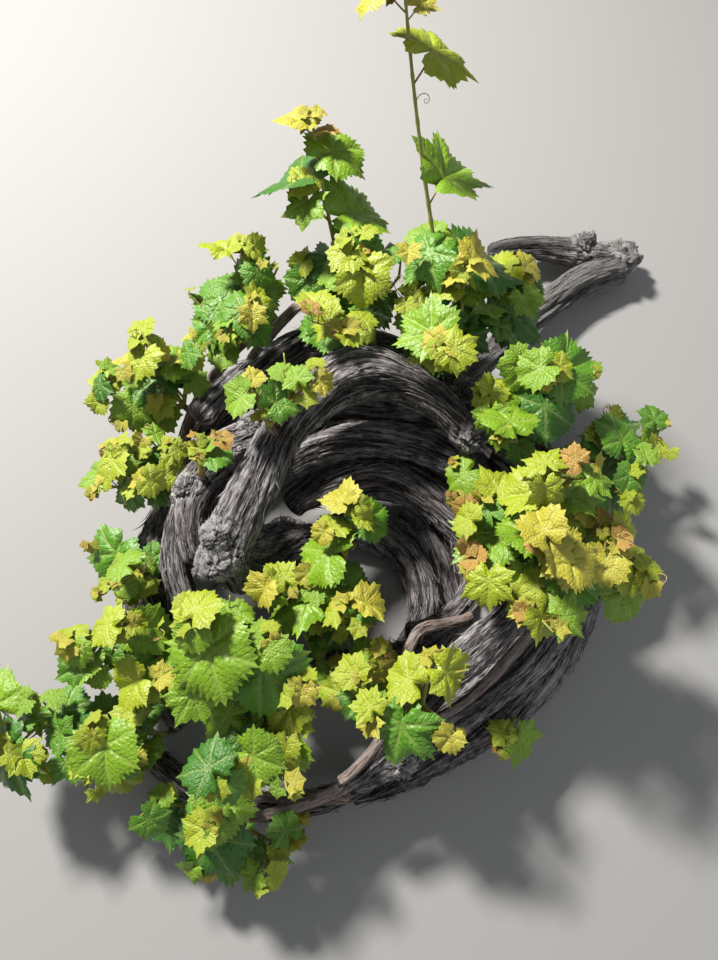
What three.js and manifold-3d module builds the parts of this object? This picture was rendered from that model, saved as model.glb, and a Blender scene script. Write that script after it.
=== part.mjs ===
// An old grapevine trained as a low basket.
// Thick arms coil round a hollow middle, and young shoots with lobed leaves stand on the rim.
// Millimetres and degrees, +Z up. The origin is the middle of the flat cut under the trunk.
import * as THREE from "three";
import { mergeVertices } from "three/addons/utils/BufferGeometryUtils.js";
import Module from "manifold-3d";

const wasm = await Module();
wasm.setup();

// The basket's middle, seen from the foot of the trunk. Arms are described round it.
const MIDDLE_X = 115;
const MIDDLE_Y = -91;

// Gap between two pieces that touch, and the smallest step kept on a surface.
const GAP = 0.35;
const SMALLEST = 0.1;

// Wood thicker than this is old, thinner wood is a cane.
const OLD_WOOD_THICK = 30;

// Length of limb between two rings of its solid, for old wood and for canes.
const RING_STEP = 66;
const CANE_RING_STEP = 54;
const LIMB_SIDES = 7;
const CANE_SIDES = 6;
const TRUNK_SIDES = 15;

// Each arm runs round the middle from one angle to another. Its distance out from the middle,
// its height and its thickness are given at equal steps on the way, and it is cut into parts
// where it bends round the hollow.
const ARMS = {
  top_arm: {
    turn: [50, 171],
    out: [288, 306, 308, 252, 205, 190, 194],
    up: [205, 250, 268, 264, 255, 242, 215],
    thick: [46, 58, 84, 64, 68, 72, 66],
    parts: 2,
  },
  outer_fork: {
    turn: [168, 118],
    out: [232, 272, 288, 288],
    up: [196, 204, 200, 188],
    thick: [54, 60, 66, 56],
    parts: 1,
  },
  left_coil: {
    turn: [146, 268],
    out: [290, 277, 243, 170, 142, 138, 150],
    up: [190, 180, 152, 118, 98, 86, 78],
    thick: [38, 46, 46, 50, 54, 48, 34],
    parts: 2,
  },
  mid_arm: {
    turn: [116, 4],
    out: [236, 250, 262, 280, 302, 308],
    up: [140, 150, 152, 145, 128, 108],
    thick: [50, 58, 60, 58, 54, 48],
    parts: 2,
  },
  low_arm: {
    turn: [122, 14],
    out: [199, 204, 212, 216, 217, 213],
    up: [80, 90, 95, 90, 80, 70],
    thick: [62, 72, 74, 72, 66, 58],
    parts: 2,
  },
  floor_arm: {
    turn: [62, -8],
    out: [184, 174, 170, 174],
    up: [34, 34, 33, 30],
    thick: [52, 56, 54, 44],
    parts: 1,
  },
  back_left_arm: {
    turn: [66, 131],
    out: [400, 432, 448, 412, 383],
    up: [120, 140, 152, 158, 160],
    thick: [40, 46, 48, 50, 52],
    parts: 1,
  },
  back_arm: {
    turn: [112, 36],
    out: [366, 374, 384, 388, 384],
    up: [160, 166, 160, 150, 130],
    thick: [44, 50, 50, 48, 42],
    parts: 1,
  },
  right_arm: {
    turn: [44, -94],
    out: [322, 320, 290, 222, 188, 187, 214, 268],
    up: [160, 192, 214, 220, 220, 210, 195, 165],
    thick: [46, 48, 50, 52, 50, 42, 30, 20],
    parts: 2,
  },
  front_right_arm: {
    turn: [34, -90],
    out: [376, 345, 282, 236, 232, 266],
    up: [112, 124, 134, 130, 118, 96],
    thick: [50, 56, 60, 56, 46, 32],
    parts: 2,
  },
  right_foot_arm: {
    turn: [44, -90],
    out: [430, 410, 348, 290, 270, 286],
    up: [44, 46, 44, 42, 38, 34],
    thick: [46, 54, 58, 56, 48, 34],
    parts: 2,
  },
  front_foot_arm: {
    turn: [-86, -143],
    out: [268, 312, 356, 392],
    up: [62, 52, 44, 36],
    thick: [30, 44, 46, 38],
    parts: 1,
  },
  back_foot_arm: {
    turn: [54, 132],
    out: [424, 456, 470, 446, 408],
    up: [42, 46, 48, 46, 42],
    thick: [46, 54, 58, 56, 48],
    parts: 1,
  },
  left_foot_arm: {
    turn: [138, 214],
    out: [380, 372, 362, 352, 336],
    up: [44, 42, 40, 36, 30],
    thick: [40, 46, 46, 42, 34],
    parts: 1,
  },
  back_wall_arm: {
    turn: [126, 14],
    out: [322, 330, 334, 336, 330, 312],
    up: [70, 78, 84, 80, 72, 62],
    thick: [60, 70, 74, 72, 64, 54],
    parts: 2,
  },
  heart_coil: {
    turn: [112, -150],
    out: [140, 128, 116, 112, 96, 62],
    up: [36, 34, 34, 34, 33, 30],
    thick: [60, 62, 62, 60, 56, 44],
    parts: 3,
  },
  left_wall_arm: {
    turn: [124, 214],
    out: [342, 336, 322, 306, 280],
    up: [112, 110, 102, 90, 72],
    thick: [40, 46, 46, 42, 34],
    parts: 2,
  },
  inner_tail: {
    turn: [8, -30],
    out: [196, 150, 98],
    up: [84, 92, 98],
    thick: [44, 42, 36],
    parts: 1,
  },
  inner_stub: {
    turn: [-10, -52],
    out: [150, 120, 92],
    up: [46, 44, 40],
    thick: [46, 46, 38],
    parts: 1,
  },
  old_arm: {
    turn: [64, 52.5],
    out: [400, 520, 650, 768, 846],
    up: [96, 72, 56, 46, 40],
    thick: [40, 44, 50, 58, 64],
    parts: 1,
  },
  old_arm_return: {
    turn: [53, 69],
    out: [850, 820, 790, 740],
    up: [40, 48, 54, 66],
    thick: [62, 56, 48, 34],
    parts: 1,
  },
  crossing_cane: {
    turn: [-14, -94],
    out: [172, 118, 116, 140, 200, 262],
    up: [196, 206, 204, 198, 196, 178],
    thick: [13, 14, 14, 14, 15, 14],
    parts: 1,
  },
  bottom_cane: {
    turn: [-90, -117],
    out: [262, 300, 350],
    up: [136, 118, 100],
    thick: [18, 18, 15],
    parts: 1,
  },
  lower_cane: {
    turn: [-92, -118],
    out: [286, 296, 326],
    up: [112, 100, 86],
    thick: [18, 17, 14],
    parts: 1,
  },
  side_cane: {
    turn: [2, -56],
    out: [296, 238, 214],
    up: [168, 166, 160],
    thick: [15, 16, 14],
    parts: 1,
  },
  upper_cane: {
    turn: [96, 118],
    out: [548, 480, 404],
    up: [150, 158, 166],
    thick: [17, 19, 17],
    parts: 1,
  },
  left_cane: {
    turn: [106, 148],
    out: [530, 470, 405, 350],
    up: [118, 122, 118, 104],
    thick: [18, 21, 22, 20],
    parts: 1,
  },
};

// The trunk leans from its foot to the head where the top arm and the outer fork leave it.
const TRUNK_TOP = { x: -70, y: -46, z: 206 };
const TRUNK_RINGS = [
  { height: 0, radius: 78 },
  { height: 14, radius: 66 },
  { height: 40, radius: 56 },
  { height: 80, radius: 51 },
  { height: 130, radius: 50 },
  { height: 175, radius: 52 },
  { height: 206, radius: 40 },
];
const ROOT_FLARE_LOBES = 5;
const ROOT_FLARE_DEPTH = 0.12;
const ROOT_FLARE_HEIGHT = 60;

// Knobs of old pruning wounds: the arm, the angle round the middle, the way they face in plan,
// how far they look up, and their radius.
const KNOBS = [
  { on: "top_arm", turn: 169, face: 230, lift: 55, radius: 31 },
  { on: "top_arm", turn: 160, face: 190, lift: 50, radius: 24 },
  { on: "outer_fork", turn: 150, face: 160, lift: 50, radius: 22 },
  { on: "outer_fork", turn: 136, face: 300, lift: 60, radius: 27 },
  { on: "outer_fork", turn: 121, face: 130, lift: 50, radius: 24 },
  { on: "left_coil", turn: 152, face: 170, lift: 50, radius: 20 },
  { on: "back_arm", turn: 62, face: 250, lift: 55, radius: 22 },
  { on: "top_arm", turn: 54, face: 300, lift: 50, radius: 22 },
  { on: "old_arm_return", turn: 53, face: 40, lift: 30, radius: 34 },
  { on: "old_arm_return", turn: 57, face: 100, lift: 50, radius: 26 },
  { on: "front_right_arm", turn: -72, face: 250, lift: 30, radius: 24 },
  { on: "left_coil", turn: 236, face: 60, lift: 60, radius: 22 },
];

// Masses of leafy shoots: the arm and angle where the stem stands, and the length of the largest
// blade. Each shoot has its direction in plan, its rise above level and its length.
const MASSES = {
  upper_left_leaves: {
    on: "left_cane",
    turn: 115,
    leaf: 77,
    seed: 34,
    shoots: [[66, 60, 170], [145, 32, 105], [36, 48, 155], [218, 32, 90], [335, 67, 150]],
  },
  left_upper_leaves: {
    on: "left_cane",
    turn: 131,
    leaf: 73,
    seed: 100,
    shoots: [[180, 24, 135], [126, 66, 145], [60, 64, 110], [205, 12, 105]],
  },
  left_middle_leaves: {
    on: "left_wall_arm",
    turn: 145,
    leaf: 64,
    seed: 96,
    shoots: [[198, 10, 130], [176, 42, 110], [60, 80, 115], [245, 56, 105]],
  },
  left_lower_leaves: {
    on: "left_wall_arm",
    turn: 168,
    leaf: 66,
    seed: 95,
    shoots: [[176, 34, 85], [236, 18, 90], [258, 10, 120], [300, 58, 115]],
  },
  left_front_leaves: {
    on: "left_wall_arm",
    turn: 194,
    leaf: 75,
    seed: 107,
    shoots: [[178, 40, 130], [206, 28, 90], [110, 78, 120], [300, 50, 95]],
  },
  far_left_leaves: {
    on: "left_foot_arm",
    turn: 214,
    leaf: 79,
    seed: 4,
    shoots: [[177, 34, 285], [172, 68, 165], [220, 30, 120]],
  },
  front_left_leaves: {
    on: "left_coil",
    turn: 212,
    leaf: 90,
    seed: 112,
    shoots: [
      [156, 64, 200], [205, 48, 160], [262, 32, 175], [285, 24, 190],
      [314, 34, 175], [40, 80, 155], [336, 56, 145],
    ],
  },
  front_bottom_leaves: {
    on: "front_foot_arm",
    turn: -127,
    leaf: 68,
    seed: 17,
    shoots: [[345, 70, 125], [168, 44, 80], [338, 8, 140], [274, 10, 80]],
  },
  top_left_leaves: {
    on: "back_left_arm",
    turn: 91,
    leaf: 90,
    seed: 52,
    shoots: [[108, 54, 320], [141, 39, 130], [10, 57, 135], [262, 54, 185], [30, 84, 165]],
  },
  top_right_leaves: {
    on: "back_arm",
    turn: 65,
    leaf: 90,
    seed: 74,
    shoots: [[113, 58, 550], [58, 24, 180], [130, 38, 180], [232, 64, 185], [105, 72, 200]],
  },
  right_top_leaves: {
    on: "back_arm",
    turn: 42,
    leaf: 92,
    seed: 35,
    shoots: [[118, 64, 290], [178, 50, 165], [42, 50, 135], [140, 82, 190], [222, 54, 180]],
  },
  right_middle_leaves: {
    on: "front_right_arm",
    turn: 26,
    leaf: 90,
    seed: 97,
    shoots: [[80, 60, 170], [18, 44, 130], [140, 78, 190], [338, 44, 105], [209, 67, 180]],
  },
  right_lower_leaves: {
    on: "right_arm",
    turn: 4,
    leaf: 77,
    seed: 87,
    shoots: [
      [150, 24, 145], [194, 24, 140], [238, 34, 125], [0, 2, 115],
      [114, 62, 150], [204, 70, 155], [26, 60, 95],
    ],
  },
  far_right_leaves: {
    on: "right_foot_arm",
    turn: 32,
    leaf: 62,
    seed: 51,
    shoots: [[16, 32, 155]],
  },
  centre_leaves: {
    on: "left_coil",
    turn: 238,
    leaf: 79,
    seed: 3,
    shoots: [[74, 42, 270], [124, 45, 170], [52, 60, 160]],
  },
  centre_front_leaves: {
    on: "left_coil",
    turn: 258,
    leaf: 71,
    seed: 28,
    shoots: [[87, 66, 145], [352, 76, 125], [28, 56, 135]],
  },
  front_right_leaves: {
    on: "right_arm",
    turn: -60,
    leaf: 71,
    seed: 31,
    shoots: [[190, 18, 75], [76, 48, 85], [318, 24, 60]],
  },
  inner_left_sprig: {
    on: "top_arm",
    turn: 118,
    leaf: 41,
    seed: 83,
    shoots: [[118, 32, 70], [42, 24, 110]],
  },
  left_sprig: {
    on: "outer_fork",
    turn: 146,
    leaf: 39,
    seed: 63,
    shoots: [[75, 68, 40], [54, 42, 70]],
  },
  inner_right_sprig: {
    on: "mid_arm",
    turn: 45,
    leaf: 43,
    seed: 95,
    shoots: [[145, 36, 50], [216, 24, 55]],
  },
  outer_right_sprig: {
    on: "right_foot_arm",
    turn: -36,
    leaf: 49,
    seed: 5,
    shoots: [[232, 42, 70]],
  },
};

// How shoots and leaves grow. Lengths are millimetres or shares of a leaf's length. A pair is the
// least value and what chance adds to it.
const STEM_LENGTH = 14;
const STEM_THICK = 9;
const STEM_OVER_HUB = 0.15;
const SHOOT_THICK = 8;
const SHOOT_TIP_THICK = 4.5;
const SHOOT_ROOT_THICK = 4;
const SHOOT_STEP = 65;
const SHOOT_STEPS = 3;
const SHOOT_SWAY = 26;
const SHOOT_CURL = 14;
const FIRST_LEAF = 0.35;
const LEAF_SPACING = 0.72;
const TIP_SPACING = 0.36;
const LEAF_TURN = 100;
const STALK_SHARE = [0.5, 0.35];
const STALK_OPEN = [0.85, 0.3];
const STALK_AHEAD = [0.3, 0.4];
const STALK_UP = [0.3, 0.5];
const BLADE_DROOP = [4, 38];
const BLADE_ROLL = 56;
const LEAF_SCALE = [0.86, 0.28];
const RETRY_SHRINK = 0.08;
const MOST_LEAVES = 7;
const LEAF_SIZES = [0.8, 1, 0.94, 0.7, 0.4];
const STALK_THICK = 2.6;
const STALK_FOOT_THICK = 1.8;
const BLADE_THICK = 0.04;
const BLADE_MIDDLE = 0.3;
const CUP = 0.05;
const KEEL = 0.18;
const KEEL_DEPTH = 0.02;
const KEEL_ANGLE = 40;
const LEAST_BEND = 6;
const HEART_REACH = 0.45;
const HEART_SIZE = 0.25;
const OVERLAY = 2.5;
const LEAF_APART = 0.72;
const TRIES = 10;
const LIMB_CLEAR = 2.5;
const CELL_CLEAR = 0.4;
const GROUND_CLEAR = 4;

// A blade's outline round the end of its stalk: angle from the midrib and reach.
const BLADE = [
  [0, 1],
  [27, 0.7],
  [54, 0.86],
  [112, 0.66],
  [180, 0.12],
];

// Finishes.
const WOOD_COLOUR = "#4a4441";
const CANE_COLOUR = "#8a7468";
const OLD_COLOUR = "#8d8681";
const WOOD_ROUGHNESS = 0.9;
const LEAF_ROUGHNESS = 0.6;
const LEAF_COLOURS = ["#6f9a1e", "#8bb027", "#5c8a22", "#a3b52f", "#4c7a24"];

const radians = THREE.MathUtils.degToRad;
const UP = new THREE.Vector3(0, 0, 1);

// A smooth run through equally spaced values, at a share t of the way along.
function through(values, t) {
  const last = values.length - 1;
  const x = Math.min(Math.max(t, 0), 1) * last;
  const i = Math.min(Math.floor(x), last - 1);
  const u = x - i;
  const a = values[i];
  const b = values[i + 1];
  const leaving = i > 0 ? (b - values[i - 1]) / 2 : b - a;
  const arriving = i + 2 <= last ? (values[i + 2] - a) / 2 : b - a;
  const u2 = u * u;
  const u3 = u2 * u;
  const held = (2 * u3 - 3 * u2 + 1) * a + (3 * u2 - 2 * u3) * b;
  return held + (u3 - 2 * u2 + u) * leaving + (u3 - u2) * arriving;
}

// A repeatable run of random numbers from 0 to 1.
function seeded(seed) {
  let state = seed >>> 0;
  return () => {
    state = (state + 0x6d2b79f5) >>> 0;
    let z = state;
    z = Math.imul(z ^ (z >>> 15), z | 1);
    z ^= z + Math.imul(z ^ (z >>> 7), z | 61);
    return ((z ^ (z >>> 14)) >>> 0) / 4294967296;
  };
}

// A value from its least up to what chance adds.
function chance([least, more], random) {
  return least + more * random();
}

// The unit vector that points a way in plan and rises above level.
function heading(turn, rise) {
  const flat = Math.cos(radians(rise));
  const x = Math.cos(radians(turn)) * flat;
  const y = Math.sin(radians(turn)) * flat;
  return new THREE.Vector3(x, y, Math.sin(radians(rise)));
}

// The middle line of an arm at a share t of its length.
function armPoint(arm, t) {
  const turn = radians(arm.turn[0] + (arm.turn[1] - arm.turn[0]) * t);
  const out = through(arm.out, t);
  return new THREE.Vector3(
    MIDDLE_X + out * Math.cos(turn),
    MIDDLE_Y + out * Math.sin(turn),
    through(arm.up, t),
  );
}

function armThick(arm, t) {
  return through(arm.thick, t);
}

// The share of an arm's length where it passes an angle round the middle.
function shareAt(arm, turn) {
  return (turn - arm.turn[0]) / (arm.turn[1] - arm.turn[0]);
}

// A solid from a closed geometry. Faces that collapsed when its points were moved are left out.
function solidFrom(geometry) {
  geometry.deleteAttribute("normal");
  geometry.deleteAttribute("uv");
  const merged = mergeVertices(geometry, 1e-4);
  const corners = merged.index.array;
  const faces = [];
  for (let i = 0; i < corners.length; i += 3) {
    const [a, b, c] = corners.slice(i, i + 3);
    if (a !== b && b !== c && c !== a) {
      faces.push(a, b, c);
    }
  }
  return new wasm.Manifold(
    new wasm.Mesh({
      numProp: 3,
      vertProperties: new Float32Array(merged.attributes.position.array),
      triVerts: new Uint32Array(faces),
    }),
  );
}

function geometryFrom(solid) {
  const mesh = solid.getMesh();
  const geometry = new THREE.BufferGeometry();
  geometry.setAttribute("position", new THREE.BufferAttribute(mesh.vertProperties, 3));
  geometry.setIndex(new THREE.BufferAttribute(mesh.triVerts, 1));
  geometry.computeVertexNormals();
  return geometry;
}

// The largest loose piece of a solid, without steps too small to matter. Scraps left by a cut
// are dropped.
function largest(solid) {
  const pieces = solid.simplify(SMALLEST).decompose();
  return pieces.reduce((best, piece) => (piece.volume() > best.volume() ? piece : best));
}

// A rod bent through rings. Each ring has its middle, its radius and, if it differs from the
// way to its neighbours, the way it faces. A relief makes the section uneven.
function rod(rings, sides, relief = () => 1) {
  const geometry = new THREE.CylinderGeometry(1, 1, 1, sides, rings.length - 1);
  const frames = ringFrames(rings);
  const place = geometry.attributes.position;
  for (let i = 0; i < place.count; i += 1) {
    const row = Math.round((place.getY(i) + 0.5) * (rings.length - 1));
    const frame = frames[row];
    const x = place.getX(i);
    const z = place.getZ(i);
    const reach = Math.hypot(x, z) * rings[row].radius;
    const angle = Math.atan2(z, x);
    const size = reach * relief(angle, rings[row].run, row);
    const point = rings[row].at
      .clone()
      .addScaledVector(frame.side, Math.cos(angle) * size)
      .addScaledVector(frame.across, -Math.sin(angle) * size);
    place.setXYZ(i, point.x, point.y, point.z);
  }
  return solidFrom(geometry);
}

// A frame on each ring that turns as little as it can from one ring to the next.
function ringFrames(rings) {
  const last = rings.length - 1;
  let side = null;
  return rings.map((ring, i) => {
    const ahead = rings[Math.min(i + 1, last)].at;
    const behind = rings[Math.max(i - 1, 0)].at;
    const axis = ring.axis ?? ahead.clone().sub(behind).normalize();
    if (!side) {
      side = Math.abs(axis.z) < 0.9 ? UP.clone() : new THREE.Vector3(1, 0, 0);
    }
    side = side.clone().addScaledVector(axis, -side.dot(axis)).normalize();
    return { side, across: axis.clone().cross(side) };
  });
}

// Rings along an arm between two shares of it. A free end is rounded off, and a part that
// follows another starts a gap further on.
function armRings(arm, from, to, grow) {
  const cane = armThick(arm, 0.5) < OLD_WOOD_THICK;
  const samples = 64;
  let length = 0;
  let before = armPoint(arm, from);
  for (let i = 1; i <= samples; i += 1) {
    const here = armPoint(arm, from + ((to - from) * i) / samples);
    length += here.distanceTo(before);
    before = here;
  }
  const steps = Math.max(2, Math.round(length / (cane ? CANE_RING_STEP : RING_STEP)));
  const start = from > 0 ? from + ((to - from) * GAP) / length : from;
  const rings = [];
  for (let i = 0; i <= steps; i += 1) {
    const t = start + ((to - start) * i) / steps;
    const ahead = armPoint(arm, t + 0.004);
    const axis = ahead.sub(armPoint(arm, t - 0.004)).normalize();
    const run = (t * length) / (to - from);
    rings.push({ at: armPoint(arm, t), axis, radius: armThick(arm, t) / 2 + grow, run });
  }
  if (from === 0) {
    rings.unshift(endRing(rings[0], -1));
  }
  if (to === 1) {
    rings.push(endRing(rings[rings.length - 1], 1));
  }
  return rings;
}

// The small last ring that rounds off a free end.
function endRing(ring, way) {
  return {
    at: ring.at.clone().addScaledVector(ring.axis, way * ring.radius * 0.4),
    axis: ring.axis,
    radius: ring.radius * 0.62,
    run: ring.run,
  };
}

function armSolid(name, arm, from, to, grow) {
  const sides = armThick(arm, 0.5) < OLD_WOOD_THICK ? CANE_SIDES : LIMB_SIDES;
  let solid = rod(armRings(arm, from, to, grow), sides);
  for (const knob of KNOBS) {
    const share = knob.on === name ? shareAt(arm, knob.turn) : -1;
    if (share >= from && share < to) {
      solid = solid.add(knobSolid(knob, arm, share, grow));
    }
  }
  return solid;
}

function knobSolid(knob, arm, share, grow) {
  const half = armThick(arm, share) / 2;
  const at = armPoint(arm, share).addScaledVector(heading(knob.face, knob.lift), half - knob.radius * 0.35);
  const ball = new THREE.IcosahedronGeometry(knob.radius + grow);
  ball.translate(at.x, at.y, at.z);
  return solidFrom(ball);
}

function trunkSolid(grow) {
  const rings = TRUNK_RINGS.map(({ height, radius }) => {
    const share = height / TRUNK_TOP.z;
    const lean = share * share * (3 - 2 * share);
    const at = new THREE.Vector3(TRUNK_TOP.x * lean, TRUNK_TOP.y * lean, height);
    return { at, axis: UP.clone(), radius: radius + grow, run: height };
  });
  const flare = (angle, run) => {
    const fade = Math.max(0, 1 - run / ROOT_FLARE_HEIGHT);
    return 1 + ROOT_FLARE_DEPTH * fade * Math.cos(ROOT_FLARE_LOBES * angle);
  };
  return rod(rings, TRUNK_SIDES, flare);
}

// Every limb is cut clear of the limbs before it, in the order trunk, arms, canes.
function growLimbs() {
  const limbs = [{ name: "trunk", arm: null, solid: trunkSolid(0), cutter: trunkSolid(GAP) }];
  for (const [name, arm] of Object.entries(ARMS)) {
    for (let part = 0; part < arm.parts; part += 1) {
      const from = part / arm.parts;
      const to = (part + 1) / arm.parts;
      let solid = armSolid(name, arm, from, to, 0);
      for (const other of limbs) {
        if (other.arm !== name) {
          solid = solid.subtract(other.cutter);
        }
      }
      const label = arm.parts > 1 ? `${name}_${part + 1}` : name;
      const cutter = armSolid(name, arm, from, to, GAP);
      limbs.push({ name: label, arm: name, solid: largest(solid), cutter });
    }
  }
  return limbs;
}

// Sample points along every limb with their radius, to keep leaves clear of the wood.
const WOOD_SAMPLES = Object.values(ARMS).flatMap((arm) => {
  const samples = [];
  for (let i = 0; i <= 40; i += 1) {
    samples.push({ at: armPoint(arm, i / 40), radius: armThick(arm, i / 40) / 2 });
  }
  return samples;
});

function clearOfWood(points, gap) {
  return points.every((point) =>
    WOOD_SAMPLES.every((sample) => point.distanceTo(sample.at) - sample.radius > gap),
  );
}

// Where a mass's stem leaves the bark, and the point where its shoots part.
function rootOf(mass) {
  const arm = ARMS[mass.on];
  const share = shareAt(arm, mass.turn);
  const centre = armPoint(arm, share);
  const axis = armPoint(arm, share + 0.01).sub(armPoint(arm, share - 0.01)).normalize();
  const way = new THREE.Vector3();
  for (const [turn, rise, length] of mass.shoots) {
    way.addScaledVector(heading(turn, rise), length);
  }
  way.addScaledVector(axis, -way.dot(axis)).normalize();
  const half = armThick(arm, share) / 2;
  return {
    foot: centre.clone().addScaledVector(way, half * 0.7),
    hub: centre.clone().addScaledVector(way, half + STEM_LENGTH),
  };
}

// Each mass keeps to the space nearer its own heart than any other heart within reach, by
// weighted distance.
function hearts() {
  return Object.entries(MASSES).map(([name, mass]) => {
    const { hub } = rootOf(mass);
    const at = hub.clone();
    let size = 0;
    for (const [turn, rise, length] of mass.shoots) {
      at.addScaledVector(heading(turn, rise), (length * HEART_REACH) / mass.shoots.length);
      size += (length * HEART_SIZE) / mass.shoots.length;
    }
    const tipsAway = mass.shoots.map(([turn, rise, length]) => {
      const tip = hub.clone().addScaledVector(heading(turn, rise), length);
      return tip.distanceTo(at);
    });
    const reach = Math.max(...tipsAway) + mass.leaf;
    return { name, at, size, reach };
  });
}

const HEARTS = hearts();

function keepsToCell(points, name) {
  const own = HEARTS.find((heart) => heart.name === name);
  return HEARTS.every((other) => {
    if (other.name === name) {
      return true;
    }
    const margin = 2 * CELL_CLEAR * own.at.distanceTo(other.at);
    return points.every((point) => {
      if (point.distanceTo(other.at) > other.reach) {
        return true;
      }
      const mine = point.distanceToSquared(own.at) - own.size * own.size;
      const theirs = point.distanceToSquared(other.at) - other.size * other.size;
      return theirs - mine > margin;
    });
  });
}

// The line of one shoot from the hub, bending a little as it grows.
function shootLine(hub, [turn, rise, length], random) {
  const sway = (random() - 0.5) * SHOOT_SWAY;
  const steps = Math.max(SHOOT_STEPS, Math.round(length / SHOOT_STEP));
  const line = [hub.clone()];
  for (let i = 0; i < steps; i += 1) {
    const u = (i + 0.5) / steps - 0.5;
    const step = heading(turn + sway * u, rise + SHOOT_CURL * u).multiplyScalar(length / steps);
    line.push(line[i].clone().add(step));
  }
  return line;
}

// One leaf's place: its stalk leaves the shoot at the joint and carries the blade at the seat.
function leafPlace(line, share, size, way, random) {
  const x = share * (line.length - 1);
  const i = Math.min(Math.floor(x), line.length - 2);
  const joint = line[i].clone().lerp(line[i + 1], x - i);
  const ahead = line[i + 1].clone().sub(line[i]).normalize();
  const across = ahead.clone().cross(UP).normalize();
  const spin = radians((random() - 0.5) * LEAF_TURN);
  const lift = UP.clone().addScaledVector(ahead, -ahead.z).normalize();
  const open = across.multiplyScalar(way * Math.cos(spin)).addScaledVector(lift, Math.sin(spin));
  const stalk = open
    .multiplyScalar(chance(STALK_OPEN, random))
    .addScaledVector(ahead, chance(STALK_AHEAD, random))
    .addScaledVector(UP, chance(STALK_UP, random))
    .normalize();
  const seat = joint.clone().addScaledVector(stalk, size * chance(STALK_SHARE, random));
  const level = new THREE.Vector3(stalk.x, stalk.y, 0).normalize();
  const steepest = Math.asin(stalk.z) - radians(LEAST_BEND);
  const droop = Math.min(-radians(chance(BLADE_DROOP, random)), steepest);
  const mid = level.multiplyScalar(Math.cos(droop)).addScaledVector(UP, Math.sin(droop));
  const roll = radians((random() - 0.5) * BLADE_ROLL);
  const upright = UP.clone().addScaledVector(mid, -mid.z).normalize();
  const normal = upright.clone().multiplyScalar(Math.cos(roll));
  normal.addScaledVector(mid.clone().cross(upright), Math.sin(roll));
  return { joint, seat, mid, normal, side: mid.clone().cross(normal), size };
}

// The reach of a blade at an angle from its midrib.
function bladeReach(angle) {
  const turn = Math.abs(angle);
  const k = BLADE.findIndex(([next]) => next >= turn);
  if (k <= 0) {
    return BLADE[0][1];
  }
  const [a, near] = BLADE[k - 1];
  const [b, far] = BLADE[k];
  return near + ((far - near) * (turn - a)) / (b - a);
}

// The outline's angles in order, round one half and back round the other.
const BLADE_ANGLES = [...BLADE.map(([turn]) => turn), ...BLADE.slice(1, -1).map(([turn]) => -turn).reverse()];

// A point on the outline of a blade.
function rimPoint(leaf, angle) {
  const reach = leaf.size * bladeReach(angle);
  return leaf.seat
    .clone()
    .addScaledVector(leaf.mid, reach * Math.cos(radians(angle)))
    .addScaledVector(leaf.side, reach * Math.sin(radians(angle)));
}

// The lowest point of a blade, on its midrib in front of the stalk.
function keelPoint(leaf) {
  return leaf.seat
    .clone()
    .addScaledVector(leaf.mid, leaf.size * KEEL)
    .addScaledVector(leaf.normal, -leaf.size * KEEL_DEPTH);
}

// The middle of a blade, which stands above its rim, moved up or down by a share of its size.
function middlePoint(leaf, lift) {
  return leaf.seat
    .clone()
    .addScaledVector(leaf.mid, leaf.size * BLADE_MIDDLE)
    .addScaledVector(leaf.normal, leaf.size * (CUP + lift));
}

function leafTestPoints(leaf) {
  const middle = middlePoint(leaf, 0);
  const points = [leaf.joint.clone().lerp(leaf.seat, 0.35), leaf.seat, middle];
  for (const angle of BLADE_ANGLES) {
    const rim = rimPoint(leaf, angle);
    points.push(rim, rim.clone().lerp(middle, 0.5));
  }
  return points;
}

// Blades of one mass lie over one another but don't cross.
function clearOfLeaves(leaf, leaves) {
  const centre = middlePoint(leaf, 0);
  return leaves.every((other) => {
    const apart = middlePoint(other, 0).sub(centre);
    return Math.hypot(apart.x, apart.y, OVERLAY * apart.z) > LEAF_APART * (leaf.size + other.size);
  });
}

// Shoots and leaves of one mass, in order of growth.
function growMass(name) {
  const mass = MASSES[name];
  const random = seeded(mass.seed);
  const { foot, hub } = rootOf(mass);
  const shoots = [];
  const leaves = [];
  mass.shoots.forEach((shoot) => {
    const length = shoot[2];
    let line = shootLine(hub, shoot, random);
    const stop = line.findIndex(
      (point, i) => i > 0 && !(clearOfWood([point], LIMB_CLEAR) && keepsToCell([point], name)),
    );
    if (stop > 0) {
      line = line.slice(0, stop);
    }
    if (line.length < 2) {
      return;
    }
    const grown = (length * (line.length - 1)) / Math.max(SHOOT_STEPS, Math.round(length / SHOOT_STEP));
    shoots.push({ line, length: grown });
    let run = mass.leaf * FIRST_LEAF;
    let way = random() < 0.5 ? 1 : -1;
    while (run < grown) {
      const share = run / grown;
      const size = mass.leaf * through(LEAF_SIZES, run / length);
      for (let attempt = 0; attempt < TRIES; attempt += 1) {
        const scale = chance(LEAF_SCALE, random) * (1 - RETRY_SHRINK * attempt);
        const leaf = leafPlace(line, share, size * scale, way, random);
        const points = leafTestPoints(leaf);
        const fits =
          points.every((point) => point.z > GROUND_CLEAR) &&
          keepsToCell(points, name) &&
          clearOfWood(points, LIMB_CLEAR) &&
          clearOfLeaves(leaf, leaves);
        if (fits) {
          leaf.share = share;
          leaves.push(leaf);
          break;
        }
      }
      way = -way;
      const spacing = mass.leaf * (LEAF_SPACING + (TIP_SPACING - LEAF_SPACING) * share);
      run += Math.max(spacing, length / MOST_LEAVES);
    }
  });
  return { foot, hub, shoots, leaves };
}

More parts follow.
